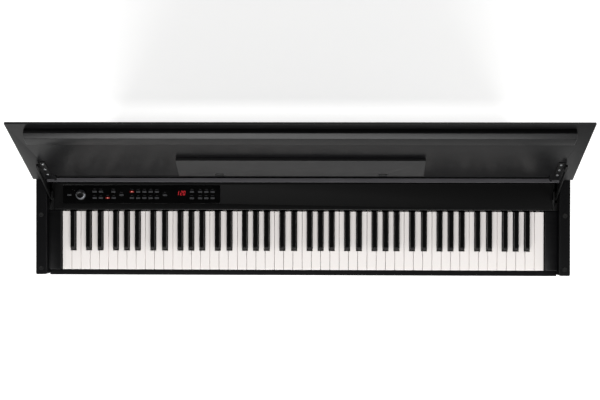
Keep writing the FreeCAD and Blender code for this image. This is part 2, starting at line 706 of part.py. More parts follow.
def control_panel():
    """A folded panel: its front skirt drops just behind the black keys."""
    skirt = D.panel_top - D.panel_skirt
    section = [(front(PANEL_FRONT), top(skirt)),
               (front(PANEL_FRONT + D.panel_thick), top(skirt)),
               (front(PANEL_FRONT + D.panel_thick), top(D.panel_top - D.panel_thick)),
               (front(PANEL_REAR), top(D.panel_top - D.panel_thick)),
               (front(PANEL_REAR), top(D.panel_top)), (front(PANEL_FRONT), top(D.panel_top))]
    panel = prism("control_panel_part", "YZ_Plane", [section], -PANEL_HALF, PANEL_HALF)
    round_edges(panel, "control_panel_round", D.panel_round,
                lambda edge, mid: near(mid.z, top(D.panel_top)) and near(mid.y, front(PANEL_FRONT)))
    right = D.fascia_width
    seat = rectangle(fascia_x(-D.button_play), fascia_x(right + D.button_play),
                     fascia_y(D.fascia_depth + D.button_play), fascia_y(-D.button_play))
    pocket(panel, outline(panel, "fascia_seat", "XY_Plane", [seat], top(FASCIA_LOW)),
           D.fascia_thick)
    well = rectangle(fascia_x(D.panel_rim), fascia_x(right - D.panel_rim),
                     fascia_y(D.fascia_depth - D.panel_rim / 2), fascia_y(D.panel_rim / 2))
    pocket(panel, outline(panel, "fascia_well", "XY_Plane", [well],
                          top(D.panel_top - D.panel_thick)), D.panel_thick)
    return node(panel, "control_panel")


def control_fascia():
    plate = body("control_fascia_part")
    rim = rectangle(fascia_x(0), fascia_x(D.fascia_width), fascia_y(D.fascia_depth), fascia_y(0))
    holes = [button_outline(place, row, D.button_play)
             for group in button_places().values() for place, row in group]
    holes.append(button_outline(D.power_place, D.button_row_mid, D.button_play))
    pad(plate, outline(plate, "fascia_plan", "XY_Plane", [rim, *holes], top(FASCIA_LOW)),
        D.fascia_thick)
    shaft = (fascia_x(D.knob_place), fascia_y(D.knob_row), D.knob_shaft + D.fit_gap)
    pocket(plate, discs(plate, "fascia_rounds", "XY_Plane", [shaft], top(FASCIA_LOW)),
           D.fascia_thick)
    return node(plate, "control_fascia")


def display_module():
    """The lit figures sit just under the tinted fascia."""
    x, y = fascia_x(D.display_place), fascia_y(D.display_row)
    body_box = block("display_module_part", (x, x + D.display_width),
                     (y - D.display_depth / 2, y + D.display_depth / 2),
                     (top(FASCIA_LOW - D.display_gap - D.display_thick),
                      top(FASCIA_LOW - D.display_gap)))
    return node(body_box, "display_module")


def panel_board():
    high = FASCIA_LOW - D.board_drop
    board = block("panel_board", (fascia_x(D.board_side), fascia_x(D.fascia_width - D.board_side)),
                  (fascia_y(D.fascia_depth - D.board_end), fascia_y(D.board_end)),
                  (top(high - D.board_thick), top(high)))
    clear = rod("panel_board_hole", "z", D.knob_shaft + D.fit_gap,
                (fascia_x(D.knob_place), fascia_y(D.knob_row), top(high - D.board_thick - 1)),
                D.board_thick + 2)
    return cut("panel_board_part", board, [clear])


def button_group(name, places):
    low = FASCIA_TOP + D.button_proud - D.button_stem
    caps = body(name + "_part")
    loops = [button_outline(place, row, 0) for place, row in places]
    pad(caps, outline(caps, name + "_plan", "XY_Plane", loops, top(low)), D.button_stem)
    round_edges(caps, name + "_round", D.button_round,
                lambda edge, mid: near(mid.z, top(FASCIA_TOP + D.button_proud)))
    return node(caps, name)


def power_button():
    return button_group("power_button", [(D.power_place, D.button_row_mid)])


def volume_knob():
    """Skirted knob with its shaft, turned in one piece about the shaft's line."""
    x, y = fascia_x(D.knob_place), fascia_y(D.knob_row)
    low, high = FASCIA_TOP + D.knob_lift, FASCIA_TOP + D.knob_high
    knob = body("volume_knob_part")
    rise, grip = D.knob_high - D.knob_lift, D.knob_radius - D.knob_step
    section = [(0, 0), (D.knob_radius, 0), (D.knob_radius, D.knob_skirt),
               (grip, D.knob_skirt + D.knob_lift), (grip - D.knob_taper, rise - D.knob_round),
               (grip - D.knob_taper - D.knob_round, rise), (0, rise)]
    sketch = outline(knob, "knob_section", "XZ_Plane", [section], 0)
    turned = knob.newObject("PartDesign::Revolution", "knob_turned")
    turned.Profile = sketch
    turned.ReferenceAxis = (sketch, ["V_Axis"])
    turned.Angle = 360
    bind(knob, Placement__Base__x=x, Placement__Base__y=y, Placement__Base__z=top(low))
    shaft = rod("knob_shaft", "z", D.knob_shaft, (x, y, top(FASCIA_LOW - D.board_drop)),
                top(high - 1) - top(FASCIA_LOW - D.board_drop))
    return node(fuse("volume_knob_joined", [knob, shaft]), "volume_knob")


# ---------------------------------------------------------------- keyboard

OCTAVE = 7
WHITE_COUNT = 52
KEYS_LEFT = D.key_pitch * (-WHITE_COUNT / 2)
BLACK_SHIFT = {"c": D.key_pitch * D.black_c, "d": D.key_pitch * D.black_d,
               "f": D.key_pitch * D.black_f, "g": D.key_pitch * D.black_g,
               "a": D.key_pitch * D.black_a}
BLACK_WIDTH = D.key_pitch * D.black_width_share
# letter: place of the first key among the white keys, neighbours with a black key between
WHITES = {"c": (2, None, "c"), "d": (3, "c", "d"), "e": (4, "d", None), "f": (5, None, "f"),
          "g": (6, "f", "g"), "a": (0, "g", "a"), "b": (1, "a", None)}
COUNTS = {"c": 8, "d": 7, "e": 7, "f": 7, "g": 7, "a": 8, "b": 8}


def white_outline(index, left_black, right_black):
    """Plan of one white key, with a notch beside each neighbouring black key."""
    left, right = KEYS_LEFT + D.key_pitch * index, KEYS_LEFT + D.key_pitch * (index + 1)
    reach = BLACK_WIDTH / 2 + D.black_gap
    near_left, near_right = left + D.key_space / 2, right - D.key_space / 2
    points = [(near_left, front(D.key_front)), (near_right, front(D.key_front))]
    rear_left, rear_right = near_left, near_right
    if right_black:
        rear_right = right + BLACK_SHIFT[right_black] - reach
        points += [(near_right, front(D.notch_front)), (rear_right, front(D.notch_front))]
    points.append((rear_right, front(D.key_rear)))
    if left_black:
        rear_left = left + BLACK_SHIFT[left_black] + reach
    points.append((rear_left, front(D.key_rear)))
    if left_black:
        points += [(rear_left, front(D.notch_front)), (near_left, front(D.notch_front))]
    return points, (rear_left + rear_right) / 2


def tail_sketch(owner, name, middle, start):
    half = D.key_pitch * D.tail_share / 2
    plan = rectangle(middle - half, middle + half, front(start),
                     front(D.key_rear + D.tail_reach))
    return outline(owner, name, "XY_Plane", [plan], top(-D.pivot_drop - D.tail_high / 2))


def pivot_bores(owner, name):
    """One bore through every tail of the group, for the pivot rod."""
    bore = discs(owner, name + "_bore", "YZ_Plane",
                 [(front(PIVOT_PLACE), top(-D.pivot_drop), D.pivot_radius + D.pivot_play)],
                 -HALF)
    pocket(owner, bore, D.body_width)


def white_keys(letter):
    name = f"white_keys_{letter}"
    first, left_black, right_black = WHITES[letter]
    count = COUNTS[letter]
    keys = body(name + "_part")
    base = top(D.key_top - D.key_high)
    ends = {"a": 0, "c": WHITE_COUNT - 1}
    patterned = first
    if letter in ends:
        count -= 1
        patterned = first + OCTAVE if letter == "a" else first
    plan, middle = white_outline(patterned, left_black, right_black)
    features = [pad(keys, outline(keys, name + "_plan", "XY_Plane", [plan], base), D.key_high),
                pad(keys, tail_sketch(keys, name + "_tail", middle, D.key_rear - 1),
                    D.tail_high)]
    repeat(keys, features, D.key_pitch * OCTAVE, count)
    if letter in ends:
        sides = (None, "a") if letter == "a" else (None, None)
        plan, middle = white_outline(ends[letter], *sides)
        pad(keys, outline(keys, name + "_end", "XY_Plane", [plan], base), D.key_high)
        pad(keys, tail_sketch(keys, name + "_end_tail", middle, D.key_rear - 1), D.tail_high)
    pivot_bores(keys, name)
    return node(keys, name)


def black_keys(letter):
    """Sharps to the right of this letter: tapered sides and a sloping front."""
    name = f"black_keys_{letter}_sharp"
    index = WHITES[letter][0] + 1
    middle = KEYS_LEFT + D.key_pitch * index + BLACK_SHIFT[letter]
    foot, crown = BLACK_WIDTH / 2, D.key_pitch * D.black_crown_share / 2
    near_y, far_y = front(D.black_front), front(D.black_front + D.black_length)
    base = top(D.key_top - D.key_high)
    keys = body(name + "_part")
    stock = pad(keys, outline(keys, name + "_plan", "XY_Plane",
                              [rectangle(middle - foot, middle + foot, near_y, far_y)], base),
                D.key_high)
    low = outline(keys, name + "_low", "XY_Plane",
                  [rectangle(middle - foot, middle + foot, near_y, far_y)], top(D.key_top))
    high = outline(keys, name + "_high", "XY_Plane",
                   [rectangle(middle - crown, middle + crown, near_y + D.black_slope, far_y)],
                   top(D.key_top + D.black_high))
    cap = keys.newObject("PartDesign::AdditiveLoft", name + "_cap")
    cap.Profile = low
    cap.Sections = [high]
    cap.Ruled = True
    tail = pad(keys, tail_sketch(keys, name + "_tail", middle, far_rear()), D.tail_high)
    repeat(keys, [stock, cap, tail], D.key_pitch * OCTAVE, 8 if letter == "a" else 7)
    pivot_bores(keys, name)
    return node(keys, name)


def far_rear():
    return D.black_front + D.black_length - 1


def key_frame():
    """Folded tray under the keys, with cheeks that carry the pivot rod."""
    half = -KEYS_LEFT + 1
    low, high = top(-D.frame_drop - D.frame_thick), top(-D.frame_drop)
    frame_rear = D.key_rear + D.frame_reach
    cheek_top = top(D.cheek_rise - D.pivot_drop)
    y = (front(D.frame_front), front(frame_rear))
    tray = block("frame_tray", (-half, half), y, (low, high))
    upstand = block("frame_rear_wall", (-half, half), (y[1] - D.frame_thick, y[1]),
                    (low, cheek_top))
    cheeks = [block("frame_cheek", sorted_pair(half * side, (half - D.frame_thick) * side),
                    (front(PIVOT_PLACE - D.frame_cheek), y[1]), (low, cheek_top))
              for side in (-1, 1)]
    feet = [block("frame_foot", (-half, half), (front(place), front(place + D.frame_foot)),
                  (top(BED_TOP), low))
            for place in (D.frame_front, frame_rear - D.frame_foot)]
    bore = rod("frame_bore", "x", D.pivot_radius,
               (-half - 1, front(PIVOT_PLACE), top(-D.pivot_drop)), half * 2 + 2)
    return node(cut("key_frame_part", fuse("frame_shell", [tray, upstand, *cheeks, *feet]),
                    [bore]), "key_frame")


def key_pivot_rod():
    half = -KEYS_LEFT + 1
    return node(rod("key_pivot_rod_part", "x", D.pivot_radius,
                    (-half, front(PIVOT_PLACE), top(-D.pivot_drop)), half * 2),
                "key_pivot_rod")


def key_felt():
    half = -KEYS_LEFT
    strips = [block("felt_strip", (-half, half), (front(place), front(place + D.felt_width)),
                    (top(-D.frame_drop), top(-D.frame_drop + D.felt_high)))
              for place in (D.felt_front, D.felt_rear)]
    return node(gather("key_felt_part", strips), "key_felt")


# ---------------------------------------------------------------- inside

def speakers():
    """Two drivers on the keybed, facing the floor."""
    made = []
    z = BED_TOP
    for side in (-1, 1):
        x, y = D.speaker_place * side, front(D.speaker_row)
        rim = rod("speaker_rim", "z", D.speaker_radius, (x, y, top(z)), D.speaker_rim)
        cone = doc.addObject("Part::Cone", "speaker_basket")
        bind(cone, Radius1=D.speaker_radius - D.cone_step, Radius2=D.magnet_radius,
             Height=D.cone_high, Placement__Base__x=x, Placement__Base__y=y,
             Placement__Base__z=top(z + D.speaker_rim))
        magnet = rod("speaker_magnet", "z", D.magnet_radius,
                     (x, y, top(z + D.speaker_rim + D.cone_high)), D.magnet_high)
        made.append(fuse("speaker", [rim, cone, magnet]))
    return node(gather("speakers_part", made), "speakers")


def speaker_grilles():
    made = [rod("grille", "z", D.speaker_radius + D.grille_rim,
                (D.speaker_place * side, front(D.speaker_row),
                 top(D.bed_bottom) - D.grille_thick), D.grille_thick) for side in (-1, 1)]
    return node(gather("speaker_grilles_part", made), "speaker_grilles")


def main_board():
    """Circuit board on four spacers, with its heat sink."""
    x, y = (D.circuit_left, D.circuit_right), (front(D.circuit_front), front(D.circuit_rear))
    low, inset = BED_TOP + D.spacer_high, D.spacer_inset
    board = block("circuit_plate", x, y, (top(low), top(low + D.board_thick)))
    spacers = [rod("spacer", "z", D.spacer_radius, (px, py, top(BED_TOP)),
                   D.spacer_high + D.board_thick / 2)
               for px in (x[0] + inset, x[1] - inset) for py in (y[0] + inset, y[1] - inset)]
    sink_x, sink_y = x[0] + D.sink_left, y[0] + D.sink_front
    sink = block("heat_sink", (sink_x, sink_x + D.sink_width), (sink_y, sink_y + D.sink_depth),
                 (top(low), top(low + D.sink_high)))
    return fuse("main_board_part", [board, *spacers, sink])


def circuit_boards():
    return node(gather("circuit_boards_part", [panel_board(), main_board()]), "circuit_boards")


def headphone_box():
    """Case under the front left of the keybed, with two headphone sockets facing the player."""
    left, low = D.jack_case_inset - INNER, D.bed_bottom - D.jack_case_high
    near_y = front(D.slip_front + D.jack_case_set)
    case = block("headphone_case", (left, left + D.jack_case_width),
                 (near_y, near_y + D.jack_case_depth), (top(low), top(D.bed_bottom)))
    middle = left + D.jack_case_width / 2
    height = top(low + D.jack_case_high / 2)
    places = [(middle - D.jack_space / 2, near_y - 1, height),
              (middle + D.jack_space / 2, near_y - 1, height)]
    bores = [rod("jack_bore", "y", D.jack_radius, place, D.jack_length + 1) for place in places]
    return node(cut("headphone_box_part", case, bores), "headphone_box")


def socket_box():
    """Case under the rear of the keybed: power inlet and three sockets, facing back."""
    left, low = D.socket_box_left, D.bed_bottom - D.jack_case_high
    rear = front(D.body_depth - D.rear_inset - D.rear_thick - D.socket_box_set)
    case = block("socket_case", (left, left + D.socket_box_width),
                 (rear - D.socket_box_depth, rear), (top(low), top(D.bed_bottom)))
    first = left + D.socket_box_width / 2 - D.socket_pitch * 1.5
    bores = [rod("socket_bore", "y", D.jack_radius if index else D.inlet_radius,
                 (first + D.socket_pitch * index, rear - D.jack_length,
                  top(low + D.jack_case_high / 2)), D.jack_length + 1)
             for index in range(4)]
    return node(cut("socket_box_part", case, bores), "socket_box")


# ---------------------------------------------------------------- stand and pedals

def stand_back_panel():
    panel = block("stand_back_panel_part", (-INNER, INNER),
                  (front(D.modesty_rear - D.modesty_thick), front(D.modesty_rear)),
                  (D.modesty_low, D.modesty_high))
    return node(panel, "stand_back_panel")


def pedal_rail():
    rail = block("pedal_rail_part", (-INNER, INNER),
                 (front(D.case_rear), front(D.case_rear + D.rail_board_thick)),
                 (D.rail_board_low, D.rail_board_high))
    return node(rail, "pedal_rail")


def pedal_x(index):
    return D.pedal_pitch * (index - 1)


def pedal_case():
    """Open-backed box on the rail; the pedals come out through three slots."""
    half, wall = D.case_half, D.case_wall
    outer = block("case_outer", (-half, half), (front(D.case_front), front(D.case_rear)),
                  (D.case_low, D.case_high))
    inner = block("case_inner", (-half + wall, half - wall),
                  (front(D.case_front + wall), front(D.case_rear + 1)),
                  (D.case_low + wall, D.case_high - wall))
    slots = [block("case_slot", (pedal_x(i) - D.case_slot / 2, pedal_x(i) + D.case_slot / 2),
                   (front(D.case_front - 1), front(D.case_front + wall + 1)),
                   (D.pedal_high - D.pedal_thick / 2 - D.slot_under,
                    D.pedal_high + D.pedal_thick / 2 + D.slot_over))
             for i in range(3)]
    webs = [block("case_web", (pedal_x(i - 0.5) - D.web_thick / 2, pedal_x(i - 0.5) + D.web_thick / 2),
                  (front(D.pedal_pivot - D.web_half), front(D.pedal_pivot + D.web_half)),
                  (D.case_low + wall / 2, D.pedal_high + D.web_rise)) for i in range(4)]
    bore = rod("case_bore", "x", D.axle_radius, (-half - 1, front(D.pedal_pivot), D.pedal_high),
               half * 2 + 2)
    shell = cut("case_shell", outer, [inner, *slots])
    return node(cut("pedal_case_part", fuse("case_webbed", [shell, *webs]), [bore]),
                "pedal_case")


def pedal_axle():
    return node(rod("pedal_axle_part", "x", D.axle_radius,
                    (-D.case_half, front(D.pedal_pivot), D.pedal_high), D.case_half * 2),
                "pedal_axle")


def pedal(name, index):
    """Lever with a rounded, widened toe, bored for the axle."""
    x, half = pedal_x(index), D.pedal_width / 2
    tip, spoon = front(D.pedal_tip), D.pedal_spoon
    lever = body(name + "_part")
    plan = [(x - half, front(D.pedal_tail)), (x - half, tip + spoon * 4),
            (x - spoon, tip + spoon * 1.6), (x - spoon, tip + spoon * 0.6),
            (x - spoon * 0.6, tip), (x + spoon * 0.6, tip), (x + spoon, tip + spoon * 0.6),
            (x + spoon, tip + spoon * 1.6), (x + half, tip + spoon * 4),
            (x + half, front(D.pedal_tail))]
    low = D.pedal_high - D.pedal_thick / 2
    pad(lever, outline(lever, name + "_plan", "XY_Plane", [plan], low), D.pedal_thick)
    round_edges(lever, name + "_top", D.pedal_thick / 3,
                lambda edge, mid: near(mid.z, D.pedal_high + D.pedal_thick / 2)
                and mid.y < front(D.pedal_tail - 10).value)
    hub = rod("pedal_hub", "x", D.axle_radius + D.hub_wall,
              (x - half, front(D.pedal_pivot), D.pedal_high), D.pedal_width)
    bore = rod("pedal_bore", "x", D.axle_radius + D.axle_play,
               (x - half - 1, front(D.pedal_pivot), D.pedal_high), D.pedal_width + 2)
    return node(cut(name + "_bored", fuse(name + "_joined", [lever, hub]), [bore]), name)


def pedal_springs():
    """A folded leaf under each pedal, with its lower leg on the floor of the case."""
    low = D.case_low + D.case_wall
    high = D.pedal_high - D.pedal_thick / 2 - D.spring_gap
    thick, near_y, far_y = D.spring_thick, front(D.spring_front), front(D.spring_rear)
    section = [(near_y, low), (far_y, low), (far_y + thick * 1.5, low + thick * 2.5),
               (near_y + thick, high), (near_y, high - thick), (far_y - thick / 2, low + thick * 2),
               (far_y - thick, low + thick), (near_y, low + thick)]
    leaves = [prism("spring_leaf", "YZ_Plane", [section], pedal_x(i) - D.spring_width / 2,
                    pedal_x(i) + D.spring_width / 2) for i in range(3)]
    return node(gather("pedal_springs_part", leaves), "pedal_springs")


def pedal_support_foot():
    y = front((D.case_front + D.case_rear) / 2)
    pad_disc = rod("support_pad", "z", D.support_radius, (0, y, 0), D.support_high)
    screw = rod("support_screw", "z", D.support_screw, (0, y, 0), D.case_low)
    return node(fuse("pedal_support_foot_part", [pad_disc, screw]), "pedal_support_foot")


def build():
    side_panel("side_panel_left", -HALF, -INNER)
    side_panel("side_panel_right", INNER, HALF)
    for make in (rear_top_board, rear_cover, keybed, key_slip, key_blocks, feet, hinge_rail,
                 hinge_strip, lid_buffers, body_screws, lid_board, lid_front_rail,
                 hinge_fixed_leaf, hinge_lid_leaf, stay_brackets, lid_screws, music_rest,
                 music_rest_hinges, stay_guides, control_panel, control_fascia,
                 display_module, power_button, volume_knob, key_frame,
                 key_pivot_rod, key_felt, speakers, speaker_grilles, circuit_boards,
                 headphone_box, socket_box, stand_back_panel, pedal_rail, pedal_case, pedal_axle,
                 pedal_springs, pedal_support_foot):
        make()
    stay_arm("stay_arm_left", -1)
    stay_arm("stay_arm_right", 1)
    for name, places in button_places().items():
        button_group(name, places)
    for letter in WHITES:
        white_keys(letter)
    for letter in BLACK_SHIFT:
        black_keys(letter)
    for index, name in enumerate(("pedal_soft", "pedal_sostenuto", "pedal_damper")):
        pedal(name, index)


def export():
    doc.recompute()
    for thing in doc.Objects:
        if "Invalid" in thing.State or "Error" in thing.State:
            raise RuntimeError(f"{thing.Label} did not compute: {thing.State}")
    for thing in NODES:
        if thing.Shape.isNull() or not thing.Shape.isValid() or not thing.Shape.Solids:
            raise RuntimeError(f"{thing.Label} has no valid solid")
    os.makedirs("parts", exist_ok=True)
    for thing in NODES:
        thing.Shape.exportStep(f"parts/{thing.Label}.step")
        print(f"{thing.Label}: {len(thing.Shape.Solids)} solids, {thing.Shape.Volume:.0f} mm3")
    print(f"{len(NODES)} nodes")


build()
export()
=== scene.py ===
"""Looks of a slab-sided digital piano on its stand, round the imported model.

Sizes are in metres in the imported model's own frame: X runs from bass to treble, the player
sits at -Y, and Z is up from the floor. Run as a script, it makes every piece in turn.
"""
import json
import math

import bmesh
import bpy
from mathutils import Matrix, Vector

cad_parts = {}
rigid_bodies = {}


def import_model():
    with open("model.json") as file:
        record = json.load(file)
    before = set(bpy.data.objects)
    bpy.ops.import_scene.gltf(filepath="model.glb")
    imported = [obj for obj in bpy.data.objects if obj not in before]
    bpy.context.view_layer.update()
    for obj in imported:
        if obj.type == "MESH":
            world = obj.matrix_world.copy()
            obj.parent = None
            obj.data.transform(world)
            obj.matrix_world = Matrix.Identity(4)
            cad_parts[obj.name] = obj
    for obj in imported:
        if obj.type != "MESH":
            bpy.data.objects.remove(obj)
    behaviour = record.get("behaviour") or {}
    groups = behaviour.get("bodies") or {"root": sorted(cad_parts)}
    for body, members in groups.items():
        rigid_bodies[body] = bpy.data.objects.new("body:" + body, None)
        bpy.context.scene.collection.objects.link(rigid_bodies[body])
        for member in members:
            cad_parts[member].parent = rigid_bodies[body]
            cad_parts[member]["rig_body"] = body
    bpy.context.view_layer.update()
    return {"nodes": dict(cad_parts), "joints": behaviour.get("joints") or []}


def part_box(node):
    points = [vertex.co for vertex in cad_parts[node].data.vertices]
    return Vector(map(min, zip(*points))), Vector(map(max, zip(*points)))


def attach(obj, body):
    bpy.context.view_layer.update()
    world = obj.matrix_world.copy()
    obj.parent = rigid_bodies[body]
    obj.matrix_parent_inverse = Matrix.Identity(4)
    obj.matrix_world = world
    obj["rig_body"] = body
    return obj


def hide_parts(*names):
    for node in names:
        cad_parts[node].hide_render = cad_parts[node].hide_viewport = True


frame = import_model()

bl_info = {
    "name": "Digital Piano Looks",
    "version": (1, 0),
    "blender": (4, 5, 0),
    "location": "View3D > Sidebar > Piano",
    "description": "Makes the keys, boards, controls, pedals and stage of a digital piano",
    "category": "Object",
}

MM = 0.001
WHITE_COUNT = 52
OCTAVE = 7
LETTERS = "cdefgab"
SHARP_LETTERS = "cdfga"
FIRST_C = 2
WELD = 0.002 * MM

# The stage: places and sizes in metres, turns in degrees, the lens in millimetres, lights in
# watts. A softbox is its name, its place, its width, its depth and its power.
CAMERA_PLACE = (0.079, 0.0118, 3.2744)
CAMERA_TURN = (-0.32, 1.05, 0.12)
CAMERA_LENS = 60.06
CAMERA_SHIFT = (-0.0249, 0.0032)
SOFTBOXES = (("front_softbox", (0, -1.75, 2.8), 3.5, 0.9, 88),
             ("right_softbox", (2.0, 0.1, 2.3), 1.2, 0.25, 3))
LIGHT_AIM = (0, 0.05, 0.85)
FLOOR_HALF = 60


def linear(code):
    """An sRGB hex colour as linear red, green and blue."""
    channels = [int(code[place:place + 2], 16) / 255 for place in (1, 3, 5)]
    return [c / 12.92 if c <= 0.04045 else ((c + 0.055) / 1.055) ** 2.4 for c in channels]


def length(name, description, default):
    return bpy.props.FloatProperty(name=name, description=description, default=default,
                                   subtype="DISTANCE", unit="LENGTH", precision=4)


def colour(name, description, code):
    return bpy.props.FloatVectorProperty(name=name, description=description, subtype="COLOR",
                                         size=3, min=0, max=1, default=linear(code))


class PianoSizes(bpy.types.PropertyGroup):
    board_ease: length("Board ease", "Rounding of the boards' edges", 0.0012)
    metal_ease: length("Metal ease", "Rounding of stamped and folded metal", 0.0004)
    moulded_ease: length("Moulded ease", "Rounding of moulded covers", 0.0007)
    key_space: length("Key space", "Gap between two white keys", 0.001)
    key_length: length("Key length", "Visible length of a white key", 0.1485)
    key_notch: length("Key notch", "Front of a white key to the notch for the sharp", 0.0481)
    key_plate: length("Key plate", "Thickness of the white key's top plate", 0.0032)
    key_lip: length("Key lip", "How far the top plate stands out in front", 0.0012)
    key_round: length("Key rounding", "Rounding of the white key's front edge", 0.0014)
    sharp_width: length("Sharp width", "Width of a black key at its foot", 0.013)
    sharp_crown: length("Sharp crown", "Width of a black key along its top", 0.0101)
    sharp_gap: length("Sharp gap", "Gap beside a black key", 0.0011)
    sharp_length: length("Sharp length", "Length of a black key", 0.099)
    sharp_slope: length("Sharp slope", "How far the front of a black key slopes back", 0.007)
    sharp_high: length("Sharp height", "Height of a black key over the white ones", 0.012)
    sharp_round: length("Sharp rounding", "Rounding of the black key's top edges", 0.002)
    digit_high: length("Figure height", "Height of a lit figure", 0.0108)
    digit_pitch: length("Figure pitch", "From one lit figure to the next", 0.0071)
    hole_pitch: length("Hole pitch", "From hole to hole in the speaker grilles", 0.006)


class PianoColours(bpy.types.PropertyGroup):
    laminate: colour("Laminate", "Melamine face of the boards", "#0d0d0e")
    moulded: colour("Moulded covers", "Moulded ABS of the control panel", "#090909")
    fascia: colour("Fascia", "Polished acrylic strip", "#030303")
    white_key: colour("White keys", "Resin of the white keys", "#f3eeeb")
    black_key: colour("Black keys", "Resin of the black keys", "#060606")
    button: colour("Buttons", "Moulded push buttons", "#232427")
    light: colour("Lights", "Lit figures and button lights", "#ff2a20")
    pedal: colour("Pedals", "Polished brass of the pedals", "#d8bf8a")
    floor: colour("Floor", "Pale studio floor", "#f6f6f5")


# ---------------------------------------------------------------- materials

def add(tree, kind, values=None, links=None, **settings):
    """Adds one node with its settings, its sockets' values and its incoming links."""
    made = tree.nodes.new(kind)
    for name, value in settings.items():
        setattr(made, name, value)
    for socket, value in (values or {}).items():
        made.inputs[socket].default_value = value
    for socket, source in (links or {}).items():
        tree.links.new(source, made.inputs[socket])
    return made


def finish(name, base, roughness, **values):
    """A material with one Principled shader, to which patterns are then linked."""
    made = bpy.data.materials.new(name)
    made.use_nodes = True
    tree = made.node_tree
    tree.nodes.clear()
    sockets = {"Base Color": (*base, 1), "Roughness": roughness, **values}
    surface = add(tree, "ShaderNodeBsdfPrincipled", sockets)
    add(tree, "ShaderNodeOutputMaterial", links={"Surface": surface.outputs[0]})
    return made, tree, surface


def place_of(tree, stretch=(1, 1, 1), shift=(0, 0, 0)):
    """The piece's own coordinates in metres, stretched along the grain."""
    own = add(tree, "ShaderNodeTexCoord")
    return add(tree, "ShaderNodeMapping", {"Scale": stretch, "Location": shift},
               {"Vector": own.outputs["Object"]}).outputs["Vector"]


def vary(tree, surface, pattern, tones=None, gloss=None, relief=None, depth=0.1 * MM):
    """Lets one pattern change the colour, the gloss and the relief of a surface."""
    if tones:
        ramp = add(tree, "ShaderNodeValToRGB", links={"Fac": pattern})
        for stop, place, tone in zip(ramp.color_ramp.elements, (0.3, 0.7), tones):
            stop.position = place
            stop.color = (*tone, 1)
        tree.links.new(ramp.outputs["Color"], surface.inputs["Base Color"])
    if gloss:
        spread = add(tree, "ShaderNodeMapRange", {"To Min": gloss[0], "To Max": gloss[1]},
                     {"Value": pattern})
        tree.links.new(spread.outputs["Result"], surface.inputs["Roughness"])
    if relief:
        bump = add(tree, "ShaderNodeBump", {"Strength": relief, "Distance": depth},
                   {"Height": pattern})
        tree.links.new(bump.outputs["Normal"], surface.inputs["Normal"])


def mixed(tone, share, other=(1, 1, 1)):
    """A tone moved by a share towards another one, white unless given."""
    return [a + (b - a) * share for a, b in zip(tone, other)]


def grained(name, base, roughness, size, shades, gloss, relief=None, depth=0.1 * MM,
            stretch=(1, 1, 1), noise=None, **values):
    """A finish with one grain over it, of this size in metres, stretched along the piece."""
    made, tree, surface = finish(name, base, roughness, **values)
    grain = add(tree, "ShaderNodeTexNoise", {"Scale": 1 / size, **(noise or {})},
                {"Vector": place_of(tree, stretch)})
    vary(tree, surface, grain.outputs["Fac"], shades, gloss, relief, depth)
    return made


def melamine(tones, along):
    """Melamine-faced chipboard, pressed against a wood-pored plate.

    The eye sees a satin black with short pores along the board. Real pores are about
    0.3 mm wide, and are drawn 3 mm wide here so that they show.
    """
    return grained(f"melamine_board_{along}", tones.laminate, 0.31, 3 * MM,
                   (mixed(tones.laminate, -0.0015), mixed(tones.laminate, 0.002)),
                   (0.27, 0.36), 0.15, 0.05 * MM,
                   stretch={"x": (0.06, 1, 1), "z": (1, 1, 0.06)}[along],
                   noise={"Detail": 5, "Roughness": 0.65},
                   **{"IOR": 1.5, "Specular IOR Level": 0.24})


def rest_lacquer(tones):
    """Fibreboard flap, sprayed with satin black lacquer.

    Smoother than the boards, with a fine overspray grain, really 0.2 mm and drawn 2 mm across.
    Its base is the board colour painted a shade greyer: painted light for the brighter look
    that the leaning flap catches.
    """
    # The greyer base and grain tones are painted light: the board colour lightened for the leaning
    # flap.
    return grained("satin_lacquer", mixed(tones.laminate, 0.01), 0.4, 2 * MM,
                   (mixed(tones.laminate, 0.008), mixed(tones.laminate, 0.013)),
                   (0.36, 0.46), 0.15, 0.03 * MM, noise={"Detail": 3},
                   **{"IOR": 1.5, "Specular IOR Level": 0.5})


def charcoal_strip(tones):
    """Charcoal ABS strip, extruded: fine lines run along it, really 0.1 mm apart, drawn 1 mm."""
    return grained("extruded_abs", linear("#403f42"), 0.42, 1 * MM,
                   (linear("#3a393c"), linear("#464548")), (0.36, 0.5), 0.15, 0.04 * MM,
                   stretch=(0.02, 1, 1), noise={"Detail": 2}, **{"IOR": 1.53})


def moulded_abs(tones):
    """ABS, injection moulded in a spark-eroded tool.

    That gives an even fine grit with little shine. Real grit is about 0.1 mm, and is drawn
    1.5 mm across.
    """
    return grained("moulded_abs", tones.moulded, 0.34, 1.5 * MM,
                   (mixed(tones.moulded, -0.001), mixed(tones.moulded, 0.0015)),
                   (0.3, 0.4), 0.2, 0.03 * MM, noise={"Detail": 3},
                   **{"IOR": 1.53, "Specular IOR Level": 0.25})


def polished_acrylic(tones):
    """Cast acrylic sheet, laser cut and polished, black behind a clear face.

    It mirrors the room sharply, with faint smears from wiping, about 40 mm across.
    """
    return grained("polished_acrylic", tones.fascia, 0.06, 40 * MM,
                   (tones.fascia, mixed(tones.fascia, 0.0012)), (0.04, 0.13),
                   stretch=(1, 2.5, 1), noise={"Detail": 4, "Distortion": 0.6},
                   **{"IOR": 1.49})


def key_resin(tones):
    """Acrylic resin key tops, moulded and buffed.

    A clean off-white with a soft shine. The buffing leaves faint marks along the key,
    really 0.2 mm apart and drawn 2 mm apart.
    """
    shade = mixed(tones.white_key, 0.025, (0.75, 0.7, 0.6))
    return grained("key_resin_white", tones.white_key, 0.24, 2 * MM, (shade, tones.white_key),
                   (0.2, 0.3), 0.06, 0.03 * MM, stretch=(1, 0.05, 1), noise={"Detail": 3},
                   **{"IOR": 1.49, "Coat Weight": 0.15, "Coat Roughness": 0.12})


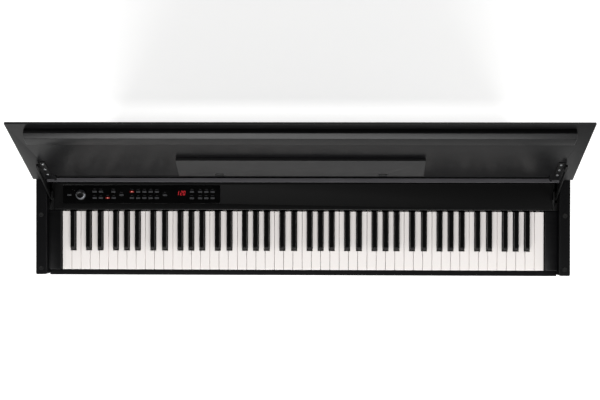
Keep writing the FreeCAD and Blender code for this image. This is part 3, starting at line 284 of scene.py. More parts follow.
def sharp_resin(tones):
    """Resin of the sharps, moulded and brushed along its length.

    Deep black with a satin line of light on each rounded edge. Brushing lines 0.1 mm
    apart are drawn 1 mm apart.
    """
    return grained("key_resin_black", tones.black_key, 0.28, 1 * MM,
                   (tones.black_key, mixed(tones.black_key, 0.002)), (0.2, 0.3), 0.08,
                   0.03 * MM, stretch=(1, 0.03, 1), noise={"Detail": 2},
                   **{"IOR": 1.5, "Specular IOR Level": 0.12})


def button_abs(tones):
    """Grey ABS push buttons, moulded with a matt face: 0.1 mm grit, drawn 0.8 mm across."""
    return grained("button_abs_grey", tones.button, 0.45, 0.8 * MM,
                   (tones.button, mixed(tones.button, 0.02)), (0.4, 0.52), 0.15, 0.03 * MM,
                   noise={"Detail": 2}, **{"IOR": 1.53})


def lit_resin(name, tones, strength, glow):
    """Red diffusing resin, cast, with a light behind it and soft grains 1.2 mm across."""
    dull, bright = mixed(tones.light, 0.9, (0, 0, 0)), mixed(tones.light, 0.8, (0, 0, 0))
    return grained(name, dull, 0.35, 1.2 * MM, (dull, bright), (0.3, 0.42), noise={"Detail": 1},
                   **{"IOR": 1.5, "Emission Strength": strength, "Emission Color": (*glow, 1)})


def printed_ink(tones):
    """Grey ink, screen printed on the fascia: flat and matt.

    The screen breaks it up slightly, really every 0.1 mm and drawn every 0.6 mm.
    """
    return grained("printed_ink", linear("#1d1e20"), 0.7, 0.6 * MM,
                   (linear("#17181a"), linear("#242527")), (0.6, 0.8))


def powder_coat(tones):
    """Steel with a satin black powder coat, stoved: a shallow orange peel, 2 mm across."""
    made, tree, surface = finish("powder_coated_steel", linear("#0b0b0b"), 0.42,
                                 **{"IOR": 1.5, "Specular IOR Level": 0.3})
    peel = add(tree, "ShaderNodeTexVoronoi", {"Scale": 1 / (2 * MM), "Smoothness": 0.8},
               {"Vector": place_of(tree)}, feature="SMOOTH_F1")
    vary(tree, surface, peel.outputs["Distance"], (linear("#090909"), linear("#0e0e0e")),
         (0.36, 0.5), 0.2, 0.06 * MM)
    return made


def zinc_plate(tones):
    """Zinc-plated steel, rolled and dipped: pale blue-grey with soft 5 mm clouding."""
    return grained("zinc_plated_steel", linear("#b9bbbd"), 0.3, 5 * MM,
                   (linear("#a4a6a8"), linear("#c8cacc")), (0.24, 0.42), 0.05, 0.02 * MM,
                   noise={"Detail": 4}, **{"Metallic": 1})


def black_zinc(tones):
    """Zinc-plated steel, passivated black: dark satin metal with 3 mm clouding."""
    return grained("black_zinc_steel", linear("#3a3a3c"), 0.38, 3 * MM,
                   (linear("#2f2f31"), linear("#464648")), (0.3, 0.48), 0.05, 0.02 * MM,
                   noise={"Detail": 4}, **{"Metallic": 1})


def turned_aluminium(tones):
    """Aluminium ring, turned on a lathe and smoke anodised: rings streak the light.

    Real turning marks are about 0.1 mm apart. A scale of 4 mm draws them 1.3 mm apart.
    """
    lowest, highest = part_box("volume_knob")
    middle = (lowest + highest) / 2
    made, tree, surface = finish("turned_aluminium", linear("#77787b"), 0.28,
                                 **{"Metallic": 1, "Anisotropic": 0.4})
    rings = add(tree, "ShaderNodeTexWave", {"Scale": 1 / (4 * MM), "Distortion": 0.3},
                {"Vector": place_of(tree, shift=(-middle.x, -middle.y, 0))},
                wave_type="RINGS", rings_direction="Z")
    vary(tree, surface, rings.outputs["Fac"], (linear("#6c6d70"), linear("#828387")),
         (0.22, 0.36), 0.1, 0.02 * MM)
    return made


def polished_brass(tones):
    """Brass pedals, cast and polished, under clear lacquer.

    Warm and bright, with wiping marks along the lever and duller places where shoes rub.
    """
    rubbed = mixed(tones.pedal, 0.12, (0.4, 0.25, 0.08))
    return grained("polished_brass", tones.pedal, 0.16, 12 * MM, (rubbed, tones.pedal),
                   (0.1, 0.3), 0.04, 0.04 * MM, stretch=(1, 0.3, 1),
                   noise={"Detail": 6, "Roughness": 0.6}, **{"Metallic": 1})


def moulded_rubber(tones):
    """Black rubber, pressure moulded: dead matt, with pale bloom in places 6 mm across."""
    return grained("moulded_rubber", linear("#0b0b0b"), 0.8, 6 * MM,
                   (linear("#090909"), linear("#131313")), (0.72, 0.9), 0.2, 0.1 * MM,
                   noise={"Detail": 5}, **{"IOR": 1.52, "Specular IOR Level": 0.25})


def pressed_felt(tones):
    """Red wool felt, pressed: matted fibres 0.05 mm thick, drawn 1 mm thick."""
    return grained("pressed_felt", linear("#7c1f22"), 0.95, 1 * MM,
                   (linear("#661619"), linear("#93292c")), None, 0.6, 0.4 * MM,
                   noise={"Detail": 8, "Distortion": 1.5},
                   **{"Sheen Weight": 0.4, "Sheen Roughness": 0.5})


def solder_mask(tones):
    """Green solder mask over copper tracks, screen printed: tracks show 2 mm wide."""
    made, tree, surface = finish("solder_mask", linear("#12492a"), 0.35, **{"IOR": 1.5})
    tracks = add(tree, "ShaderNodeTexBrick",
                 {"Scale": 1 / (40 * MM), "Mortar Size": 0.04, "Mortar Smooth": 0.2,
                  "Color1": (*linear("#14502e"), 1), "Color2": (*linear("#0f4125"), 1),
                  "Mortar": (*linear("#2f7a45"), 1)},
                 {"Vector": place_of(tree)})
    tree.links.new(tracks.outputs["Color"], surface.inputs["Base Color"])
    vary(tree, surface, tracks.outputs["Fac"], None, (0.3, 0.45), 0.2, 0.05 * MM)
    return made


def hardboard(tones):
    """Hardboard painted black on its rough side: the press screen leaves a 2 mm mesh.

    A wave's bands lie closer than its scale, so a scale of 7 mm draws them 2.2 mm apart.
    """
    made, tree, surface = finish("painted_hardboard", linear("#1b1917"), 0.75, **{"IOR": 1.45})
    weave = []
    for direction in ("X", "Z"):
        wave = add(tree, "ShaderNodeTexWave", {"Scale": 1 / (7 * MM), "Distortion": 0.6},
                   {"Vector": place_of(tree)}, bands_direction=direction)
        weave.append(wave.outputs["Fac"])
    screen = add(tree, "ShaderNodeMath", links={0: weave[0], 1: weave[1]}, operation="MULTIPLY")
    vary(tree, surface, screen.outputs[0], (linear("#181614"), linear("#24211e")),
         (0.68, 0.85), 0.5, 0.3 * MM)
    return made


def painted_floor(tones):
    """Studio floor, rolled with matt white paint: almost even, with a roller's faint mottle.

    A lift seen by the camera alone keeps it white, as a lit backdrop is.
    """
    made, tree, surface = finish("painted_floor", tones.floor, 0.9,
                                 **{"Specular IOR Level": 0.1, "Emission Color": (1, 1, 1, 1)})
    seen = add(tree, "ShaderNodeLightPath")
    lift = add(tree, "ShaderNodeMath", {1: 0.6}, {0: seen.outputs["Is Camera Ray"]},
               operation="MULTIPLY")
    tree.links.new(lift.outputs[0], surface.inputs["Emission Strength"])
    mottle = add(tree, "ShaderNodeTexNoise", {"Scale": 1 / (60 * MM), "Detail": 3},
                 {"Vector": place_of(tree)})
    vary(tree, surface, mottle.outputs["Fac"], (mixed(tones.floor, 0.02, (0, 0, 0)), tones.floor),
         (0.85, 0.95))
    return made


MATERIALS = {
    "board_x": lambda tones: melamine(tones, "x"),
    "board_z": lambda tones: melamine(tones, "z"),
    "abs": moulded_abs,
    "acrylic": polished_acrylic,
    "white_key": key_resin,
    "black_key": sharp_resin,
    "button": button_abs,
    "rest_lacquer": rest_lacquer,
    "charcoal": charcoal_strip,
    "black_zinc": black_zinc,
    "lit_button": lambda tones: lit_resin("lit_button_resin", tones, 0.07, linear("#a01418")),
    "light": lambda tones: lit_resin("lamp_lens_resin", tones, 1.1, linear("#ffa89c")),
    "figures": lambda tones: lit_resin("lit_figure_resin", tones, 0.75, linear("#f0303c")),
    "ink": printed_ink,
    "steel": powder_coat,
    "zinc": zinc_plate,
    "aluminium": turned_aluminium,
    "brass": polished_brass,
    "rubber": moulded_rubber,
    "felt": pressed_felt,
    "solder_mask": solder_mask,
    "hardboard": hardboard,
    "floor": painted_floor,
}


def material(name):
    """The material of that name, made the first time that a piece asks for it."""
    key = "piano_material_names"
    known = bpy.context.scene.get(key, {})
    if name not in known:
        made = MATERIALS[name](bpy.context.scene.piano_colours)
        bpy.context.scene[key] = {**dict(known), name: made.name}
        return made
    return bpy.data.materials[known[name]]


# ---------------------------------------------------------------- making pieces

def joint(name):
    """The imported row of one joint."""
    return next(item for item in frame["joints"] if item["name"] == name)


def swing():
    """Turns a piece drawn with the lid closed to where the lid stands open."""
    hinge = joint("lid_hinge")
    place = Matrix.Translation(hinge["pos_m"])
    turn = Matrix.Rotation(-math.radians(hinge["range_deg"][1]), 4, "X")
    return place @ turn @ place.inverted()


LID_OPEN = swing()
LID_CLOSED = LID_OPEN.inverted()


def solids(node, turn=None):
    """Lowest and highest corner of each separate solid of a CAD node, left to right."""
    mesh = bmesh.new()
    mesh.from_mesh(frame["nodes"][node].data)
    if turn:
        mesh.transform(turn)
    bmesh.ops.remove_doubles(mesh, verts=mesh.verts, dist=WELD)
    left, boxes = set(mesh.verts), []
    while left:
        todo, points = [left.pop()], []
        while todo:
            vertex = todo.pop()
            points.append(vertex.co.copy())
            near = {edge.other_vert(vertex) for edge in vertex.link_edges} & left
            left -= near
            todo += near
        boxes.append((Vector(map(min, *points)), Vector(map(max, *points))))
    mesh.free()
    return sorted(boxes, key=lambda box: tuple(round(v, 5) for v in box[0]))


def circle(place, radius, height=0.0, segments=32):
    """Points of a circle about the place's Z axis."""
    return [place @ Vector((radius * math.cos(math.tau * k / segments),
                            radius * math.sin(math.tau * k / segments), height))
            for k in range(segments)]


def foot_of(low, high):
    """The place on which a box stands, with its origin in the middle of the foot."""
    return Matrix.Translation(((low.x + high.x) / 2, (low.y + high.y) / 2, low.z))


def band(mesh, low, high, look=0):
    """Joins two rings of vertices by four-sided faces."""
    for k in range(len(low)):
        after = (k + 1) % len(low)
        face = mesh.faces.new((low[k], low[after], high[after], high[k]))
        face.material_index = look


def closed_edges(mesh, ring):
    """Edges round a ring of vertices that has none yet."""
    return [mesh.edges.new((ring[k - 1], ring[k])) for k in range(len(ring))]


def loft(mesh, rings, looks=None):
    """Closes a skin over rings of points. looks gives each band's place in the materials."""
    made = [[mesh.verts.new(point) for point in ring] for ring in rings]
    looks = looks or [0] * (len(made) - 1)
    mesh.faces.new(list(reversed(made[0]))).material_index = looks[0]
    mesh.faces.new(made[-1]).material_index = looks[-1]
    for low, high, look in zip(made, made[1:], looks):
        band(mesh, low, high, look)
    return made


def rounded(x, y, corner, steps=5):
    """Points of a rectangle with rounded corners, counter-clockwise."""
    middles = ((x[1] - corner, y[0] + corner, -90), (x[1] - corner, y[1] - corner, 0),
               (x[0] + corner, y[1] - corner, 90), (x[0] + corner, y[0] + corner, 180))
    points = []
    for middle_x, middle_y, start in middles:
        for step in range(steps + 1):
            angle = math.radians(start + 90 * step / steps)
            points.append((middle_x + corner * math.cos(angle),
                           middle_y + corner * math.sin(angle)))
    return points


def pillow(mesh, low, high, corner, ease, steps=4, dish=0.0, look=0):
    """A block with rounded corners, an eased top rim and, if wanted, a dished top."""
    rings = []
    for share in [None] + [step / steps for step in range(steps + 1)]:
        inset = 0 if share is None else ease * (1 - math.cos(share * math.pi / 2))
        z = low.z if share is None else high.z - ease * (1 - math.sin(share * math.pi / 2))
        outline = rounded((low.x + inset, high.x - inset), (low.y + inset, high.y - inset),
                          max(corner - inset, ease * 0.2))
        rings.append([(x, y, z) for x, y in outline])
    if dish:
        middle = (low + high) / 2
        rings.append([(middle.x + (x - middle.x) * 0.6, middle.y + (y - middle.y) * 0.6,
                       high.z - dish) for x, y, _ in rings[-1]])
    loft(mesh, rings, [look] * (len(rings) - 1))


def lathe(mesh, profile, place, segments=48, flutes=(0, 0)):
    """Turns a profile of (radius, height, kind) about the place's Z axis.

    Kind 1 starts a band in the second material, and kind 2 is fluted, with so deep and so
    many flutes.
    """
    rings = []
    for radius, height, kind in profile:
        ring = []
        for index in range(segments):
            angle = math.tau * index / segments
            dip = flutes[0] * (0.5 + 0.5 * math.cos(angle * flutes[1])) if kind == 2 else 0
            ring.append(place @ Vector(((radius - dip) * math.cos(angle),
                                        (radius - dip) * math.sin(angle), height)))
        rings.append(ring)
    loft(mesh, rings, [int(kind == 1) for _, _, kind in profile[:-1]])


def screw_head(mesh, place, radius, rise, turn):
    """Pan head with a cross recess. The place's +Z points out of the surface."""
    place = place @ Matrix.Rotation(turn, 4, "Z")
    dome = ((1, 0), (1, 0.3), (0.93, 0.65), (0.78, 0.9), (0.6, 1))
    rings = [[mesh.verts.new(point) for point in circle(place, radius * share, rise * height, 24)]
             for share, height in dome]
    mesh.faces.new(list(reversed(rings[0])))
    for low, high in zip(rings, rings[1:]):
        band(mesh, low, high)
    arm, half = radius * 0.46, radius * 0.11
    quarter = [(arm, -half), (arm, half), (half, half)]
    cross = [Matrix.Rotation(math.pi / 2 * side, 2) @ Vector(point)
             for side in range(4) for point in quarter]
    rim = [mesh.verts.new(place @ Vector((*point, rise))) for point in cross]
    floor = [mesh.verts.new(place @ Vector((*(point * 0.7), rise * 0.45))) for point in cross]
    crown = rings[-1]
    loops = closed_edges(mesh, rim)
    loops += [mesh.edges.get((crown[k - 1], crown[k])) for k in range(len(crown))]
    bmesh.ops.triangle_fill(mesh, use_beauty=True, edges=loops)
    band(mesh, rim, floor)
    mesh.faces.new(floor)


def tube(mesh, place, profile, segments=32):
    """Turns a closed profile of radius and height about the place's Z axis."""
    rings = [[mesh.verts.new(point) for point in circle(place, radius, height, segments)]
             for radius, height in profile]
    for index, ring in enumerate(rings):
        band(mesh, rings[index - 1], ring)


def piece(name, mesh, looks, body, nodes=(), sharp=40):
    """Turns a finished bmesh into a piece that rides on a body and stands for CAD nodes."""
    bmesh.ops.recalc_face_normals(mesh, faces=mesh.faces)
    data = bpy.data.meshes.new(name)
    mesh.to_mesh(data)
    mesh.free()
    for look in looks:
        data.materials.append(material(look))
    data.shade_smooth()
    if sharp:
        data.set_sharp_from_angle(angle=math.radians(sharp))
    made = bpy.data.objects.new(name, data)
    bpy.context.scene.collection.objects.link(made)
    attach(made, body)
    if nodes:
        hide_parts(*nodes)
    return made


def ease_edges(made, width, segments=3, weighted=False):
    """Rounds a piece's sharp edges, and shades its flats as flat."""
    bevel = made.modifiers.new("eased_edges", "BEVEL")
    bevel.width = width
    bevel.segments = segments
    bevel.limit_method = "WEIGHT" if weighted else "ANGLE"
    bevel.angle_limit = math.radians(32)
    bevel.use_clamp_overlap = True
    bevel.harden_normals = True
    bevel.miter_outer = "MITER_ARC"
    return made


def eased_copy(name, node, look, ease, segments=3, holes=False):
    """A CAD part's shape again, with the edges that sanding or moulding would round."""
    source = frame["nodes"][node]
    mesh = bmesh.new()
    mesh.from_mesh(source.data)
    bmesh.ops.remove_doubles(mesh, verts=mesh.verts, dist=WELD)
    if not holes:
        bmesh.ops.dissolve_limit(mesh, angle_limit=math.radians(0.4), verts=mesh.verts,
                                 edges=mesh.edges)
    made = piece(name, mesh, [look], source["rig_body"], (node,), sharp=None)
    return ease_edges(made, ease, segments)


def dress(looks):
    """Gives CAD nodes that stay as they are their material."""
    for look, nodes in looks.items():
        for name in nodes:
            slots = frame["nodes"][name].material_slots
            for item in slots:
                item.link = "OBJECT"
                item.material = material(look)


# ---------------------------------------------------------------- boards and lid

class PIANO_OT_boards(bpy.types.Operator):
    """Side panels, keybed, slip, blocks and the boards of the stand."""
    bl_idname = "piano.boards"
    bl_label = "Boards"

    def execute(self, context):
        sizes = context.scene.piano_sizes
        ease = sizes.board_ease
        for name, node, look in (
                ("left_side_board", "side_panel_left", "board_z"),
                ("right_side_board", "side_panel_right", "board_z"),
                ("rear_top", "rear_top_board", "board_x"),
                ("keybed_board", "keybed", "board_x"),
                ("slip_rail", "key_slip", "board_x"),
                ("cheek_blocks", "key_blocks", "board_x"),
                ("modesty_board", "stand_back_panel", "board_x"),
                ("pedal_board", "pedal_rail", "board_x")):
            eased_copy(name, node, look, ease)
        eased_copy("back_cover", "rear_cover", "hardboard", sizes.metal_ease)
        dress({"board_x": ["hinge_rail"]})
        return {"FINISHED"}


class PIANO_OT_lid(bpy.types.Operator):
    """Lid with its thin front edge, the rail inside it and the long hinge."""
    bl_idname = "piano.lid"
    bl_label = "Lid"

    def execute(self, context):
        sizes = context.scene.piano_sizes
        eased_copy("lid_slab", "lid_board", "board_x", sizes.metal_ease * 2)
        eased_copy("lid_rail", "lid_front_rail", "board_x", sizes.board_ease)
        eased_copy("hinge_cover_strip", "hinge_strip", "charcoal", sizes.board_ease)
        dress({"steel": ["hinge_fixed_leaf", "hinge_lid_leaf"]})
        mesh = bmesh.new()
        for low, high in solids("lid_buffers"):
            rise, radius = high.z - low.z, (high.x - low.x) / 2
            lathe(mesh, [(radius, 0, 0), (radius, rise * 0.5, 0), (radius * 0.9, rise * 0.85, 0),
                         (radius * 0.72, rise, 0), (radius * 0.5, rise, 0),
                         (radius * 0.42, rise * 0.75, 0), (0.1 * MM, rise * 0.7, 0)],
                  foot_of(low, high), 32)
        piece("lid_buffer_pads", mesh, ["rubber"], "cabinet", ["lid_buffers"])
        return {"FINISHED"}


class PIANO_OT_music_rest(bpy.types.Operator):
    """Folding music rest and its two hinges."""
    bl_idname = "piano.music_rest"
    bl_label = "Music rest"

    def execute(self, context):
        sizes = context.scene.piano_sizes
        eased_copy("music_rest_flap", "music_rest", "rest_lacquer", sizes.board_ease)
        eased_copy("music_rest_pivots", "music_rest_hinges", "steel", sizes.metal_ease)
        return {"FINISHED"}


class PIANO_OT_stays(bpy.types.Operator):
    """Brackets on the lid, the stay arms and the guides they slide in."""
    bl_idname = "piano.stays"
    bl_label = "Lid stays"

    def execute(self, context):
        sizes = context.scene.piano_sizes
        eased_copy("lid_brackets", "stay_brackets", "steel", sizes.metal_ease)
        eased_copy("left_stay", "stay_arm_left", "steel", sizes.metal_ease)
        eased_copy("right_stay", "stay_arm_right", "steel", sizes.metal_ease)
        eased_copy("stay_guide_plates", "stay_guides", "abs", sizes.metal_ease)
        return {"FINISHED"}


class PIANO_OT_screws(bpy.types.Operator):
    """Cross-headed screws on the brackets, the strip and the back."""
    bl_idname = "piano.screws"
    bl_label = "Screws"

    def execute(self, context):
        mesh = bmesh.new()
        for index, (low, high) in enumerate(solids("lid_screws", LID_CLOSED)):
            middle = (low + high) / 2
            place = LID_OPEN @ Matrix.Translation((middle.x, middle.y, high.z))
            place = place @ Matrix.Rotation(math.pi, 4, "X")
            screw_head(mesh, place, (high.x - low.x) / 2, high.z - low.z, index * 1.1)
        piece("bracket_screws", mesh, ["zinc"], "lid", ["lid_screws"], sharp=50)
        mesh = bmesh.new()
        for index, (low, high) in enumerate(solids("body_screws")):
            middle, span = (low + high) / 2, high - low
            if span.z < span.y:
                place = Matrix.Translation((middle.x, middle.y, low.z))
                screw_head(mesh, place, span.x / 2, span.z, index * 1.1)
            else:
                place = Matrix.Translation((middle.x, low.y, middle.z))
                place = place @ Matrix.Rotation(-math.pi / 2, 4, "X")
                screw_head(mesh, place, span.x / 2, span.y, index * 1.1)
        piece("cabinet_screws", mesh, ["black_zinc"], "cabinet",
              ["body_screws"], sharp=50)
        return {"FINISHED"}


# ---------------------------------------------------------------- controls

class PIANO_OT_panel(bpy.types.Operator):
    """Moulded control panel and its polished fascia."""
    bl_idname = "piano.panel"
    bl_label = "Control panel"

    def execute(self, context):
        sizes = context.scene.piano_sizes
        eased_copy("control_cover", "control_panel", "abs", sizes.moulded_ease)
        eased_copy("fascia_strip", "control_fascia", "acrylic", sizes.metal_ease * 0.3, 2,
                   holes=True)
        return {"FINISHED"}


def caps(node):
    """Boxes of a group's button caps, split into rows from the rear."""
    rows = {}
    for low, high in solids(node):
        rows.setdefault(round(high.y, 4), []).append((low, high))
    return [rows[y] for y in sorted(rows, reverse=True)]


LIT_CAPS = {"effect_buttons": (2, 2), "sound_buttons": (0, 0)}


class PIANO_OT_buttons(bpy.types.Operator):
    """Push buttons with dished tops; two of them are lit."""
    bl_idname = "piano.buttons"
    bl_label = "Buttons"

    def execute(self, context):
        corner, rim, dish = 1.1 * MM, 0.5 * MM, 0.15 * MM
        lens = Vector((1.6 * MM, 0.8 * MM, 0))
        sunk, proud = Vector((0, 0, 0.3 * MM)), Vector((0, 0, 0.15 * MM))
        for node in ("power_button", "effect_buttons", "sound_buttons", "recorder_buttons"):
            mesh = bmesh.new()
            for row, boxes in enumerate(caps(node)):
                for column, (low, high) in enumerate(boxes):
                    lit = LIT_CAPS.get(node) == (row, column)
                    pillow(mesh, low, high, corner, rim, dish=dish, look=int(lit))
                    if lit:
                        top = Vector((*((low + high) / 2).xy, high.z))
                        pillow(mesh, top - lens - sunk, top + lens + proud, 0.7 * MM, 0.2 * MM,
                               look=2)
            piece(node.replace("_button", "_cap"), mesh, ["button", "lit_button", "light"], node,
                  [node])
        return {"FINISHED"}


class PIANO_OT_knob(bpy.types.Operator):
    """Volume knob: fluted skirt, wide turned ring and a black dished cap with a pointer."""
    bl_idname = "piano.knob"
    bl_label = "Volume knob"

    def execute(self, context):
        low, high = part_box("volume_knob")
        fascia_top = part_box("control_fascia")[1].z
        middle = (low + high) / 2
        radius, rise = (high.x - low.x) / 2, high.z - fascia_top
        lift, shaft = 0.6 * MM, 3 * MM
        stem = low.z - fascia_top
        profile = [(shaft, stem, 0), (shaft, lift, 0), (radius * 0.97, lift, 2),
                   (radius, lift + 0.6 * MM, 2), (radius, rise * 0.62, 1),
                   (radius * 0.985, rise * 0.66, 1), (radius * 0.86, rise * 0.79, 1),
                   (radius * 0.72, rise * 0.93, 1), (radius * 0.67, rise * 0.96, 0),
                   (radius * 0.64, rise, 0), (radius * 0.6, rise * 0.97, 0),
                   (radius * 0.54, rise * 0.9, 0), (radius * 0.3, rise * 0.86, 0),
                   (0.1 * MM, rise * 0.85, 0)]
        mesh = bmesh.new()
        lathe(mesh, profile, Matrix.Translation((middle.x, middle.y, fascia_top)), 128,
              (0.35 * MM, 32))
        pointer = Vector((0.45 * MM, radius * 0.22, 0.25 * MM))
        centre = Vector((middle.x, middle.y + radius * 0.42, fascia_top + rise * 0.88))
        pillow(mesh, centre - pointer, centre + pointer, 0.3 * MM, 0.1 * MM, look=1)
        piece("knob", mesh, ["abs", "aluminium"], "volume_knob", ["volume_knob"])
        return {"FINISHED"}


SEGMENTS = {"0": "abcdef", "1": "mn", "2": "abged"}


def figure(mesh, corner, text, sizes):
    """Seven-segment figures, leaning like those on a meter. corner is the lower left one."""
    high, bar = sizes.digit_high, sizes.digit_high * 0.09
    wide = sizes.digit_pitch * 0.72
    lean = math.tan(math.radians(10))
    ends = {"a": ((0, 1), (1, 1)), "b": ((1, 0.5), (1, 1)), "c": ((1, 0), (1, 0.5)),
            "d": ((0, 0), (1, 0)), "e": ((0, 0), (0, 0.5)), "f": ((0, 0.5), (0, 1)),
            "g": ((0, 0.5), (1, 0.5)), "m": ((0.5, 0), (0.5, 0.5)),
            "n": ((0.5, 0.5), (0.5, 1))}
    for place, digit in enumerate(text):
        for name in SEGMENTS[digit]:
            one, two = (Vector((u * (wide - bar), v * (high - bar))) for u, v in ends[name])
            along = (two - one).normalized() * bar / 2
            aside = Vector((-along.y, along.x))
            tips = (one, one + along + aside, two - along + aside, two, two - along - aside,
                    one + along - aside)
            rings = []
            for z in (0, 0.12 * MM):
                rings.append([(corner.x + place * sizes.digit_pitch + p.x + p.y * lean,
                               corner.y + p.y, corner.z + z) for p in tips])
            loft(mesh, rings)


class PIANO_OT_display(bpy.types.Operator):
    """Lit tempo figures in the fascia, and the module behind them."""
    bl_idname = "piano.display"
    bl_label = "Lit figures"

    def execute(self, context):
        sizes = context.scene.piano_sizes
        low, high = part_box("display_module")
        fascia_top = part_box("control_fascia")[1].z
        wide = sizes.digit_pitch * 2.78
        middle = (low + high) / 2
        corner = Vector((middle.x - wide / 2 - 2 * MM, middle.y - sizes.digit_high / 2 + 0.1 * MM,
                         fascia_top))
        mesh = bmesh.new()
        figure(mesh, corner, "120", sizes)
        piece("lit_figures", mesh, ["figures"], "cabinet")
        dress({"acrylic": ["display_module"]})
        return {"FINISHED"}


class PIANO_OT_print(bpy.types.Operator):
    """Short printed dashes behind the buttons, in place of legends."""
    bl_idname = "piano.print"
    bl_label = "Printed marks"

    def execute(self, context):
        fascia_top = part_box("control_fascia")[1].z
        mesh = bmesh.new()
        lengths = (6.5 * MM, 8 * MM, 5.5 * MM, 7.2 * MM)
        count = 0
        for node in ("effect_buttons", "sound_buttons", "recorder_buttons"):
            for low, high in solids(node):
                half = lengths[count % len(lengths)] / 2
                middle = (low.x + high.x) / 2
                near_y = high.y + 3.6 * MM
                pillow(mesh, Vector((middle - half, near_y, fascia_top - 0.05 * MM)),
                       Vector((middle + half, near_y + 0.8 * MM, fascia_top + 0.04 * MM)),
                       0.2 * MM, 0.02 * MM, 2)
                count += 1
        piece("printed_dashes", mesh, ["ink"], "cabinet")
        return {"FINISHED"}


# ---------------------------------------------------------------- keys

def keyboard(sizes):
    """Left end, pitch, front, top and foot of the white keys, and each sharp's first middle."""
    boxes = {letter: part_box(f"white_keys_{letter}") for letter in LETTERS}
    left = min(low.x for low, _ in boxes.values()) - sizes.key_space / 2
    right = max(high.x for _, high in boxes.values()) + sizes.key_space / 2
    pitch = (right - left) / WHITE_COUNT
    low, high = boxes["c"]
    sharps = {}
    for letter in SHARP_LETTERS:
        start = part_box(f"black_keys_{letter}_sharp")[0].x
        sharps[letter] = start + sizes.sharp_width / 2
    return {"left": left, "pitch": pitch, "front": low.y, "top": high.z, "foot": low.z,
            "tail": high.y, "sharps": sharps}


def sharp_beside(board, index):
    """Middle of the sharp to the right of a white key, or None."""
    letter = LETTERS[(index - FIRST_C) % OCTAVE]
    if letter not in SHARP_LETTERS or not 0 <= index < WHITE_COUNT - 1:
        return None
    first = board["sharps"][letter]
    step = board["pitch"] * OCTAVE
    wanted = board["left"] + board["pitch"] * (index + 1)
    return first + step * round((wanted - first) / step)


def key_plan(sizes, board, index, inset, set_back):
    """Outline of a white key, cut back beside its sharps, counter-clockwise from the front."""
    reach = sizes.sharp_width / 2 + sizes.sharp_gap + inset
    left = board["left"] + board["pitch"] * index + sizes.key_space / 2 + inset
    right = board["left"] + board["pitch"] * (index + 1) - sizes.key_space / 2 - inset
    near_y = board["front"] + set_back
    notch = board["front"] + sizes.key_notch - inset
    rear = board["front"] + sizes.key_length - inset
    points = [(left, near_y), (right, near_y)]
    after, before = sharp_beside(board, index), sharp_beside(board, index - 1)
    rear_right = after - reach if after else right
    rear_left = before + reach if before else left
    if after:
        points += [(right, notch), (rear_right, notch)]
    points += [(rear_right, rear), (rear_left, rear)]
    if before:
        points += [(rear_left, notch), (left, notch)]
    return points, (rear_left + rear_right) / 2


def indices_of(letter):
    """Places of the white keys with that letter, counted from the bass."""
    return [k for k in range(WHITE_COUNT) if LETTERS[(k - FIRST_C) % OCTAVE] == letter]


def mark_edges(mesh, ring, weights, rim):
    """Sets how much each edge round a ring, and from it to the next rim, is rounded."""
    layer = mesh.edges.layers.float.get("bevel_weight_edge")
    near_y = min(vertex.co.y for vertex in ring)
    for vertex in ring:
        for edge in vertex.link_edges:
            other = edge.other_vert(vertex)
            if other in ring:
                front = max(vertex.co.y, other.co.y) < near_y + 0.1 * MM
                edge[layer] = weights["front"] if front else weights["top"]
            elif other in rim:
                front = vertex.co.y < near_y + 0.1 * MM
                edge[layer] = weights["corner"] if front else weights["top"] * 0.5


def key_tail(mesh, sizes, board, middle):
    """The bar behind a key that swings on the pivot rod."""
    half, rise = 4.5 * MM, 10 * MM
    low = board["foot"] + 2 * MM
    start = board["front"] + sizes.key_length - 2 * MM
    outline = rounded((middle - half, middle + half), (start, board["tail"]), 0.8 * MM, 2)
    loft(mesh, [[(x, y, z) for x, y in outline] for z in (low, low + rise)])


class PIANO_OT_white_keys(bpy.types.Operator):
    """White keys: a top plate that stands out in front of the body below it."""
    bl_idname = "piano.white_keys"
    bl_label = "White keys"

    def execute(self, context):
        sizes = context.scene.piano_sizes
        board = keyboard(sizes)
        for letter in LETTERS:
            mesh = bmesh.new()
            mesh.edges.layers.float.new("bevel_weight_edge")
            for index in indices_of(letter):
                plate, middle = key_plan(sizes, board, index, 0, 0)
                under = board["top"] - sizes.key_plate
                rings = loft(mesh, [[(x, y, z) for x, y in plate] for z in (under, board["top"])])
                mark_edges(mesh, rings[1], {"front": 1, "top": 0.45, "corner": 0.8}, rings[0])
                mark_edges(mesh, rings[0], {"front": 0.3, "top": 0.2, "corner": 0.8}, rings[1])
                stem, _ = key_plan(sizes, board, index, 0.25 * MM, sizes.key_lip)
                loft(mesh, [[(x, y, z) for x, y in stem]
                            for z in (board["foot"], under + 0.5 * MM)])
                key_tail(mesh, sizes, board, middle)
            node = f"white_keys_{letter}"
            made = piece(f"white_key_tops_{letter}", mesh, ["white_key"], node, [node],
                         sharp=None)
            ease_edges(made, sizes.key_round, 4, weighted=True)
        return {"FINISHED"}


